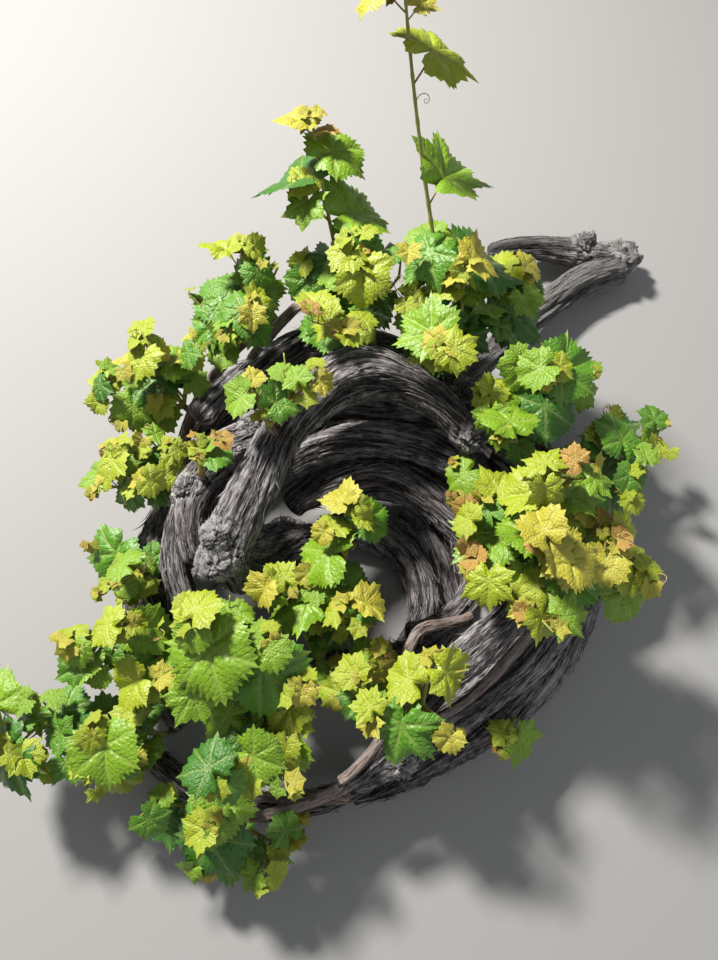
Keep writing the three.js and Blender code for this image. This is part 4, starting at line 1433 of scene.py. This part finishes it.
# Scales of the noise in bark, for each metre of its grain, and in a blade's own map.
FIBRE_SCALE = 430
THREAD_SCALE = 1300
PATCH_SCALE = 26
MOTTLE_SCALE = 16
PUCKER_SCALE = 13.0
SIDE_VEIN_SPACING = 0.14

# Depth in metres and strength of each surface's bumps.
BARK_BUMP = (0.0018, 0.9)
LEAF_BUMP = (0.0021, 0.7)
SKIN_BUMP = (0.0004, 0.5)


def group_once(name, build):
    """A shader node group by name, built the first time it is asked for."""
    return bpy.data.node_groups.get(name) or build(name)


def build_fibrous_bark(name):
    """Bark that shreds along its grain: painted shade in its grooves, brown strands, silvery ridges."""
    inputs = {
        "Grain": (VECTOR, None), "Relief": (NUMBER, 0.5), "Pale": (NUMBER, 0.0),
        "Crack shade": (COLOUR, GREY), "Strand": (COLOUR, GREY), "Ridge": (COLOUR, GREY),
        "Stain": (COLOUR, GREY), "Chalk": (COLOUR, GREY),
    }
    tree, given, result = new_group(name, inputs, {"Color": COLOUR, "Height": NUMBER, "Roughness": NUMBER})
    grain = given["Grain"]
    fibres = fade(tree, noise_in(tree, grain, FIBRE_SCALE, 4, 0.65), 0.36, 0.64)
    threads = fade(tree, noise_in(tree, grain, THREAD_SCALE, 2), 0.38, 0.62)
    patches = noise_in(tree, grain, PATCH_SCALE, 3)
    level = calculate(tree, "MULTIPLY", given["Relief"], 0.6)
    level = calculate(tree, "MULTIPLY_ADD", fibres, 0.26, level)
    level = calculate(tree, "MULTIPLY_ADD", threads, 0.2, level)
    stained = calculate(tree, "MULTIPLY", fade(tree, patches, 0.52, 0.66), 0.55)
    body = mix_colours(tree, stained, given["Strand"], given["Stain"])
    # Painted shade: low relief, in cracks and against other arms, turns to the near-black groove shade.
    colour = mix_colours(tree, fade(tree, level, 0.2, 0.4), given["Crack shade"], body)
    colour = mix_colours(tree, fade(tree, level, 0.36, 0.76), colour, given["Ridge"])
    chalky = calculate(tree, "MULTIPLY", given["Pale"], fade(tree, level, 0.3, 0.6))
    wire(tree, mix_colours(tree, chalky, colour, given["Chalk"]), result["Color"])
    wire(tree, calculate(tree, "MULTIPLY_ADD", threads, 0.4, fibres), result["Height"])
    wire(tree, calculate(tree, "MULTIPLY_ADD", fibres, 0.15, 0.72), result["Roughness"])
    return tree


def build_leaf_veins(name):
    """A blade's fine side veins, the paler bands beside its main veins, and its puckers."""
    inputs = {
        "Veins": (VECTOR, None), "Blade": (COLOUR, GREY), "Vein": (COLOUR, GREY), "Strength": (NUMBER, 0.5),
    }
    tree, given, result = new_group(name, inputs, {"Color": COLOUR, "Height": NUMBER, "Roughness": NUMBER})
    split = add_node(tree, "ShaderNodeSeparateXYZ", {0: given["Veins"]})
    along, away = split.outputs[0], split.outputs[1]
    wobble = noise_in(tree, given["Veins"], 9, 2)
    slanted = calculate(tree, "MULTIPLY_ADD", away, -0.8, along)
    slanted = calculate(tree, "MULTIPLY_ADD", wobble, 0.12, slanted)
    phase = calculate(tree, "FRACT", calculate(tree, "DIVIDE", slanted, SIDE_VEIN_SPACING))
    from_vein = calculate(tree, "ABSOLUTE", calculate(tree, "SUBTRACT", phase, 0.5))
    side_vein = calculate(tree, "MULTIPLY", fade(tree, from_vein, 0.05, 0.0), 0.3)
    beside = calculate(tree, "MULTIPLY", fade(tree, away, 0.1, 0.0), 0.45)
    mottle = noise_in(tree, given["Veins"], MOTTLE_SCALE, 3)
    cells = {"Vector": given["Veins"], "Scale": PUCKER_SCALE}
    puckers = add_node(tree, "ShaderNodeTexVoronoi", cells, feature="SMOOTH_F1")
    share = calculate(tree, "MULTIPLY", calculate(tree, "MAXIMUM", side_vein, beside), given["Strength"])
    share = calculate(tree, "MULTIPLY_ADD", calculate(tree, "SUBTRACT", mottle, 0.5), 0.6, share)
    wire(tree, mix_colours(tree, share, given["Blade"], given["Vein"]), result["Color"])
    furrow = calculate(tree, "MULTIPLY", fade(tree, from_vein, 0.0, 0.25), 0.24)
    height = calculate(tree, "MULTIPLY_ADD", mottle, 0.6, furrow)
    wire(tree, calculate(tree, "MULTIPLY_ADD", puckers.outputs["Distance"], -0.9, height), result["Height"])
    wire(tree, calculate(tree, "MULTIPLY_ADD", mottle, 0.3, 0.27), result["Roughness"])
    return tree


def build_soft_skin(name):
    """The skin of young green stems: blushed in long streaks, with a faint grain."""
    inputs = {
        "Place": (VECTOR, None), "Skin": (COLOUR, GREY), "Blush": (COLOUR, GREY), "Share": (NUMBER, 0.5),
    }
    tree, given, result = new_group(name, inputs, {"Color": COLOUR, "Height": NUMBER})
    streaks = noise_in(tree, given["Place"], 70, 3)
    fine = noise_in(tree, given["Place"], 900, 2)
    share = calculate(tree, "MULTIPLY", fade(tree, streaks, 0.38, 0.66), given["Share"])
    wire(tree, mix_colours(tree, share, given["Skin"], given["Blush"]), result["Color"])
    wire(tree, fine, result["Height"])
    return tree


def place_group(tree, name, build, inputs):
    """A node that holds a shader node group."""
    node = tree.nodes.new("ShaderNodeGroup")
    node.node_tree = group_once(name, build)
    for key, value in inputs.items():
        wire(tree, value, node.inputs[key])
    return node.outputs


def new_material(name, roughness, specular=0.5):
    """A material with its node tree and its Principled shader."""
    material = bpy.data.materials.new(name)
    material.use_nodes = True
    shader = material.node_tree.nodes["Principled BSDF"]
    shader.inputs["Roughness"].default_value = roughness
    shader.inputs["Specular IOR Level"].default_value = specular
    return material, material.node_tree, shader.inputs


def finish_material(tree, shader, parts, depth, strength):
    """Feeds a group's colour, roughness and height into the shader."""
    tree.links.new(parts["Color"], shader["Base Color"])
    if "Roughness" in parts:
        tree.links.new(parts["Roughness"], shader["Roughness"])
    inputs = {"Height": parts["Height"], "Distance": depth, "Strength": strength}
    bump = add_node(tree, "ShaderNodeBump", inputs)
    tree.links.new(bump.outputs["Normal"], shader["Normal"])


def bark_material(name, crack_shade, strand, ridge, stain, chalk):
    """Bark that follows the grain stored on a limb's mesh."""
    material, tree, shader = new_material(name, 0.85, 0.3)

    def stored(label, output):
        return add_node(tree, "ShaderNodeAttribute", {}, attribute_name=label).outputs[output]

    parts = place_group(tree, "fibrous_bark", build_fibrous_bark, {
        "Grain": stored("grain", "Vector"),
        "Relief": stored("relief", "Fac"),
        "Pale": stored("pale", "Fac"),
        "Crack shade": crack_shade, "Strand": strand, "Ridge": ridge, "Stain": stain, "Chalk": chalk,
    })
    finish_material(tree, shader, parts, *BARK_BUMP)
    return material


def leaf_material(name, blade, vein, strength, specular):
    """The skin of a blade with its veins."""
    material, tree, shader = new_material(name, 0.45, specular)
    place = add_node(tree, "ShaderNodeUVMap", {}, uv_map="veins").outputs[0]
    inputs = {"Veins": place, "Blade": blade, "Vein": vein, "Strength": strength}
    parts = place_group(tree, "leaf_veins", build_leaf_veins, inputs)
    finish_material(tree, shader, parts, *LEAF_BUMP)
    return material


def skin_material(name, skin, blush, share, roughness=0.45):
    """The skin of a stem."""
    material, tree, shader = new_material(name, roughness)
    place = add_node(tree, "ShaderNodeTexCoord", {}).outputs["Object"]
    inputs = {"Place": place, "Skin": skin, "Blush": blush, "Share": share}
    parts = place_group(tree, "soft_skin", build_soft_skin, inputs)
    finish_material(tree, shader, parts, *SKIN_BUMP)
    return material


def blend(first, second, share):
    """A colour part way between two."""
    return tuple(a + (b - a) * share for a, b in zip(first, second))


# Leaf tints from oldest to youngest, and how young a leaf is where the next tint takes over.
TINTS = ("deep", "green", "bright", "lime", "gold", "bronze")
TINT_STEPS = (0.27, 0.42, 0.56, 0.75, 0.92)
SHAPE_SEED = 5000
YOUNG_MASS = 0.52
YOUNG_TIP = 0.3
YOUNG_SMALL = 0.3
YOUNG_HIGH = 0.26
YOUNG_SPREAD = 0.34
RIM_HEIGHT = 270
BRONZE_UP_TO = 28
UNDERSIDE = (0.45, 0.5, 0.3)

# Shoots swell at their joints, and are red where they are young.
JOINT_SPACING = 27
JOINT_START = 12
JOINT_SWELL = 0.28
RED_SHOOT_FROM = 0.65
RED_STALK_FROM = 0.6
TENDRIL_RADII = (0.9, 0.35)


@functools.cache
def grown_masses():
    """Every mass of the vine, grown once."""
    masses = {name: grow_mass(name) for name in MASSES}
    for name, grown in masses.items():
        grow_finer(name, grown)
    return masses


def youth(leaf, mass, random):
    """How young a leaf is, from 0 to 1: younger in young masses, near tips, when small or high up."""
    small = 1 - min(1, leaf["size"] / mass["leaf"])
    high = min(1, max(0, leaf["seat"][2] / RIM_HEIGHT - 1))
    young = YOUNG_MASS * mass["young"] + YOUNG_TIP * leaf["share"] ** 2
    young = young + YOUNG_SMALL * small + YOUNG_HIGH * high
    return min(1, max(0, young + YOUNG_SPREAD * (random() - 0.5)))


def dealt_leaves():
    """Every leaf with the name of its tint and how young it is."""
    for name, grown in grown_masses().items():
        random = seeded(MASSES[name]["seed"] + SHAPE_SEED)
        for leaf in grown["leaves"]:
            young = youth(leaf, MASSES[name], random)
            step = int(np.searchsorted(TINT_STEPS, young))
            if leaf["size"] > BRONZE_UP_TO:
                step = min(step, TINTS.index("gold"))
            yield leaf, TINTS[step], young, random


def colour_setting(name, description, value):
    """A colour in the panel."""
    return FloatVectorProperty(name=name, description=description, subtype="COLOR", default=value)


def length_setting(name, description, value, precision=2):
    """A length in the panel, in metres."""
    return FloatProperty(
        name=name, description=description, subtype="DISTANCE", unit="LENGTH", default=value,
        precision=precision,
    )


class VineWood(bpy.types.PropertyGroup):
    """Sizes and colours of the wood."""

    strips: FloatProperty(
        name="Peeling strips", description="How many strips of bark peel, as a share of the usual",
        default=1.0, min=0.05,
    )
    knob_size: FloatProperty(
        name="Knob size", description="Size of the pruning knobs, as a share of the usual", default=1.0,
    )
    # Painted shade: this near-black colour of the bark's cracks stands for the shade deep in them.
    crack_shade: colour_setting("Groove shade", "Colour deep in the bark", (0.006, 0.0055, 0.0055))
    strand: colour_setting("Strands", "Colour of old bark", (0.085, 0.075, 0.075))
    ridge: colour_setting("Ridges", "Silvery colour along the bark's ridges", (0.48, 0.45, 0.455))
    stain: colour_setting("Stains", "Warm brown where bark has come away", (0.11, 0.074, 0.06))
    chalk: colour_setting("Knobs", "Pale grey of the crumbling knobs", (0.62, 0.6, 0.59))
    bleached: colour_setting("Bleached wood", "Silver grey of the long dead arm", (0.3, 0.285, 0.275))
    cane: colour_setting("Canes", "Pinkish brown of the canes", (0.33, 0.25, 0.22))
    cane_ridge: colour_setting("Cane ridges", "Pale thread bark on the canes", (0.5, 0.42, 0.38))


class VineLeaves(bpy.types.PropertyGroup):
    """Sizes and colours of shoots and leaves."""

    shoot_radius: length_setting("Shoot radius", "Radius of a shoot where it starts", 0.004, 4)
    tip_radius: length_setting("Tip radius", "Radius of a shoot at its tip", 0.0018, 4)
    stalk_radius: length_setting("Stalk radius", "Radius of a large leaf's stalk", 0.0012, 4)
    shoot_sides: IntProperty(
        name="Shoot sides", description="Faces round a shoot", default=8, min=5, max=16,
    )
    deep: colour_setting("Old leaves", "Deep green", (0.042, 0.165, 0.01))
    green: colour_setting("Grown leaves", "Fresh green", (0.095, 0.26, 0.012))
    bright: colour_setting("Bright leaves", "Bright green", (0.19, 0.35, 0.012))
    lime: colour_setting("Young leaves", "Yellow green", (0.34, 0.415, 0.014))
    gold: colour_setting("Younger leaves", "Pale gold", (0.47, 0.43, 0.04))
    bronze: colour_setting("Newest leaves", "Bronze", (0.45, 0.26, 0.05))
    vein: colour_setting("Veins", "Pale yellow green of the veins", (0.42, 0.47, 0.14))
    skin: colour_setting("Shoots", "Green of the shoots", (0.3, 0.38, 0.08))
    blush: colour_setting("Blush", "Red of sunlit young stems", (0.42, 0.1, 0.07))
    tendril: colour_setting("Tendrils", "Pale straw of the tendrils", (0.5, 0.42, 0.14))


class VineStage(bpy.types.PropertyGroup):
    """The floor, the lights and the camera."""

    floor: colour_setting("Floor", "Colour of the floor", (0.38, 0.375, 0.366))
    floor_size: length_setting("Floor size", "Length of a side of the floor", 14.0)
    lens: FloatProperty(name="Lens", description="Focal length for a 36 mm sensor", default=27.0)
    distance: length_setting("Camera distance", "From the camera to the point it looks at", 1.315)
    tilt: FloatProperty(
        name="Camera tilt", description="How steeply the camera looks down", subtype="ANGLE",
        unit="ROTATION", default=math.radians(70),
    )
    aim: FloatVectorProperty(
        name="Aim", description="The point on the ground that the camera looks at", subtype="TRANSLATION",
        unit="LENGTH", default=(0.121, 0.14675, 0.0),
    )


def old_bark_material(wood):
    """Charcoal brown bark with silvery ridges, which the trunk and the arms share."""
    colours = (wood.crack_shade, wood.strand, wood.ridge, wood.stain, wood.chalk)
    return bpy.data.materials.get("shaggy_bark") or bark_material("shaggy_bark", *colours)


def add_limb(name, limb, nodes, material, share, extra=()):
    """One limb's bark, its peeling strips and its knobs as one piece."""
    chances = np.random.default_rng(limb.seed + STRIP_SEED)
    meshes = [limb.bark_mesh(name), limb.strips_mesh(name, chances, share), *extra]
    return add_piece(name, join_meshes(name, meshes, material), nodes)


def grow_limbs(kind, ending, material, wood):
    """Every arm with one kind of bark, each as a piece of its own with its knobs."""
    for seed, name in enumerate(ARMS, start=LIMB_SEEDS[kind]):
        if bark_kind(name) != kind:
            continue
        places = enumerate(knobs_on(name, wood.knob_size))
        knobs = [knob_mesh("knob", *place, KNOB_SEEDS * seed + i) for i, place in places]
        limb = arm_limb(name, seed)
        add_limb(f"{name}_{ending}", limb, nodes_of(name), material, wood.strips, knobs)


class GrowTrunk(bpy.types.Operator):
    """Grow the bark of the short leaning trunk"""

    bl_idname = "vine.grow_trunk"
    bl_label = "Grow trunk"

    def execute(self, context):
        wood = context.scene.vine_wood
        add_limb("trunk_bark", trunk_limb(), ["trunk"], old_bark_material(wood), wood.strips)
        return {"FINISHED"}


class GrowArms(bpy.types.Operator):
    """Grow the shaggy bark of the coiled arms, with their pruning knobs"""

    bl_idname = "vine.grow_arms"
    bl_label = "Grow arms"

    def execute(self, context):
        wood = context.scene.vine_wood
        grow_limbs("old", "bark", old_bark_material(wood), wood)
        return {"FINISHED"}


class GrowBleachedArm(bpy.types.Operator):
    """Grow the long dead arm of bare silver wood"""

    bl_idname = "vine.grow_bleached_arm"
    bl_label = "Grow dead arm"

    def execute(self, context):
        wood = context.scene.vine_wood
        strand = blend(wood.crack_shade, wood.bleached, 0.45)
        material = bark_material("silver_wood", wood.crack_shade, strand, wood.bleached, wood.strand, wood.chalk)
        grow_limbs("bleached", "wood", material, wood)
        return {"FINISHED"}


class GrowCanes(bpy.types.Operator):
    """Grow the stringy bark of the canes and of the stems under the shoots"""

    bl_idname = "vine.grow_canes"
    bl_label = "Grow canes"

    def execute(self, context):
        wood = context.scene.vine_wood
        crack_shade = blend(wood.crack_shade, wood.cane, 0.25)
        material = bark_material("thread_bark", crack_shade, wood.cane, wood.cane_ridge, wood.stain, wood.chalk)
        grow_limbs("cane", "bark", material, wood)
        meshes = []
        for seed, grown in enumerate(grown_masses().values(), start=STEM_SEED):
            shares = np.linspace(0, 1, STEM_STEPS)[:, None]
            centre = grown["foot"] + (grown["hub"] - grown["foot"]) * shares
            radius = STEM_RADIUS - STEM_TAPER * shares[:, 0]
            meshes.append(Limb(centre, radius, BARKS["cane"], seed).bark_mesh("stem"))
        add_piece("shoot_stems", join_meshes("shoot_stems", meshes, material), MASSES)
        return {"FINISHED"}


def shoot_curve(shoot):
    """A shoot's smooth line, its share at each point and how thick it is there, with swollen joints."""
    count = max(7, int(shoot["length"] / 6))
    shares = np.linspace(0, 1, count)
    line = through(shoot["line"], shares)
    run = shares * shoot["length"]
    from_joint = (run + JOINT_START) % JOINT_SPACING - JOINT_SPACING / 2
    swollen = 1 + JOINT_SWELL * np.exp(-(from_joint**2) / 10)
    return line, shares, swollen * shoot["thick"]


def stalk_line(leaf):
    """A leaf stalk's line, which bows up to the blade."""
    joint, seat = leaf["joint"], leaf["seat"]
    bow = (joint + seat) / 2 - UP * 0.08 * np.linalg.norm(seat - joint)
    u = np.linspace(0, 1, 6)[:, None]
    return (1 - u) ** 2 * joint + 2 * u * (1 - u) * bow + u**2 * (seat - leaf["normal"] * 0.3)


class GrowShoots(bpy.types.Operator):
    """Grow the green shoots and the leaf stalks"""

    bl_idname = "vine.grow_shoots"
    bl_label = "Grow shoots"

    def execute(self, context):
        sizes = context.scene.vine_leaves
        skins = [
            skin_material("shoot_skin", sizes.skin, sizes.blush, 0.45),
            skin_material("stalk_skin", blend(sizes.skin, sizes.lime, 0.4), sizes.blush, 0.55),
            skin_material("young_stalk_skin", blend(sizes.skin, sizes.blush, 0.45), sizes.blush, 0.8),
        ]
        shoots = Sticks()
        for name, grown in grown_masses().items():
            for shoot in grown["shoots"]:
                line, shares, swollen = shoot_curve(shoot)
                radius = sizes.shoot_radius + (sizes.tip_radius - sizes.shoot_radius) * shares
                young = MASSES[name]["young"] > RED_SHOOT_FROM or shoot["thick"] < 1
                shoots.add(line, radius / MM * swollen, sizes.shoot_sides, 1 if young else 0)
        add_piece("green_shoots", shoots.mesh("green_shoots", skins), MASSES)
        stalks = Sticks()
        for leaf, _, young, _ in dealt_leaves():
            radius = sizes.stalk_radius / MM * min(1, 0.35 + leaf["size"] / 90)
            skin = 2 if young > RED_STALK_FROM else 1
            stalks.add(stalk_line(leaf), radius * np.linspace(1.25, 0.9, 6), 5, skin)
        add_piece("leaf_stalks", stalks.mesh("leaf_stalks", skins), MASSES)
        return {"FINISHED"}


class GrowLeaves(bpy.types.Operator):
    """Grow the lobed, toothed leaves, a piece for each tint"""

    bl_idname = "vine.grow_leaves"
    bl_label = "Grow leaves"

    def execute(self, context):
        sizes = context.scene.vine_leaves
        blades = [(kind["from"], Blade(kind["columns"], kind["rings"])) for kind in BLADE_KINDS]
        gathered = {tint: Leaves() for tint in TINTS}
        for leaf, tint, young, random in dealt_leaves():
            blade = next(blade for least, blade in blades if leaf["size"] >= least)
            gathered[tint].add(leaf, blade, random, young)
        for tint, leaves in gathered.items():
            colour = getattr(sizes, tint)
            vein = blend(sizes.vein, colour, 0.35)
            pale = blend(colour, UNDERSIDE, 0.3)
            materials = [
                leaf_material(f"{tint}_blade", colour, vein, 0.7, 0.62),
                leaf_material(f"{tint}_underside", pale, vein, 0.4, 0.2),
                skin_material(f"{tint}_vein", vein, colour, 0.4),
            ]
            add_piece(f"{tint}_leaves", leaves.mesh(f"{tint}_leaves", materials), MASSES)
        return {"FINISHED"}


class GrowTendrils(bpy.types.Operator):
    """Grow the thin curling tendrils"""

    bl_idname = "vine.grow_tendrils"
    bl_label = "Grow tendrils"

    def execute(self, context):
        sizes = context.scene.vine_leaves
        tendrils = Sticks()
        for grown in grown_masses().values():
            for line in grown["tendrils"]:
                tendrils.add(line, np.linspace(*TENDRIL_RADII, len(line)), 5)
        skin = skin_material("tendril_skin", sizes.tendril, sizes.blush, 0.4)
        add_piece("tendrils", tendrils.mesh("tendrils", [skin]), MASSES)
        return {"FINISHED"}


# Each light's place, the length of its side, its power in watts and its colour.
LIGHTS = {
    "key_light": ((-1.5, 1.8, 2.8), 0.42, 240, (1.0, 0.97, 0.92)),
    "fill_light": ((1.9, -1.6, 1.9), 2.5, 12, (0.92, 0.96, 1.0)),
}
LIGHTS_FACE = (0.12, 0.0, 0.15)
SKY = (0.92, 0.95, 1.0, 1)
SKY_STRENGTH = 0.24
SENSOR_WIDTH = 36


def add_light(name, at, size, power, colour):
    """A soft square light that faces the vine."""
    light = bpy.data.lights.new(name, "AREA")
    light.size = size
    light.energy = power
    light.color = colour
    lamp = bpy.data.objects.new(name, light)
    lamp.location = at
    lamp.rotation_euler = (Vector(LIGHTS_FACE) - Vector(at)).to_track_quat("-Z", "Y").to_euler()
    bpy.context.scene.collection.objects.link(lamp)


class SetStage(bpy.types.Operator):
    """Lay the floor and set the lights and the camera"""

    bl_idname = "vine.set_stage"
    bl_label = "Set stage"

    def execute(self, context):
        stage = context.scene.vine_stage
        half = stage.floor_size / 2
        mesh = mesh_by("floor", bmesh.ops.create_grid, x_segments=1, y_segments=1, size=half)
        material, _, shader = new_material("floor", 0.9, 0.2)
        shader["Base Color"].default_value = (*stage.floor, 1)
        mesh.materials.append(material)
        floor = bpy.data.objects.new("floor", mesh)
        context.scene.collection.objects.link(floor)
        for name, light in LIGHTS.items():
            add_light(name, *light)
        world = bpy.data.worlds.new("studio")
        world.use_nodes = True
        background = world.node_tree.nodes["Background"].inputs
        background["Color"].default_value = SKY
        background["Strength"].default_value = SKY_STRENGTH
        context.scene.world = world
        context.scene.view_settings.view_transform = "Standard"
        camera = bpy.data.cameras.new("camera")
        camera.lens = stage.lens
        camera.sensor_width = SENSOR_WIDTH
        camera.clip_start = 0.01
        holder = bpy.data.objects.new("camera", camera)
        away = Vector((0, -math.cos(stage.tilt), math.sin(stage.tilt)))
        holder.location = Vector(stage.aim) + away * stage.distance
        holder.rotation_euler = (math.pi / 2 - stage.tilt, 0, 0)
        context.scene.collection.objects.link(holder)
        context.scene.camera = holder
        return {"FINISHED"}


STEPS = (GrowTrunk, GrowArms, GrowBleachedArm, GrowCanes, GrowShoots, GrowLeaves, GrowTendrils, SetStage)
GROUPS = {"vine_wood": VineWood, "vine_leaves": VineLeaves, "vine_stage": VineStage}


class VinePanel(bpy.types.Panel):
    """The vine's sizes, colours and steps"""

    bl_idname = "VIEW3D_PT_vine"
    bl_label = "Basket grapevine"
    bl_space_type = "VIEW_3D"
    bl_region_type = "UI"
    bl_category = "Vine"

    def draw(self, context):
        for group in GROUPS:
            box = self.layout.box()
            settings = getattr(context.scene, group)
            for label in settings.bl_rna.properties.keys():
                if label not in ("rna_type", "name"):
                    box.prop(settings, label)
        for step in STEPS:
            self.layout.operator(step.bl_idname)


CLASSES = (*GROUPS.values(), *STEPS, VinePanel)


def register():
    """Adds the operators, the panel and the settings to Blender."""
    for made in CLASSES:
        bpy.utils.register_class(made)
    for label, group in GROUPS.items():
        setattr(bpy.types.Scene, label, PointerProperty(type=group))


def unregister():
    """Takes the settings, the panel and the operators out again."""
    for label in GROUPS:
        delattr(bpy.types.Scene, label)
    for made in reversed(CLASSES):
        bpy.utils.unregister_class(made)


def main():
    """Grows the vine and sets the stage."""
    register()
    for step in STEPS:
        group, name = step.bl_idname.split(".")
        getattr(getattr(bpy.ops, group), name)()


if __name__ == "__main__":
    main()
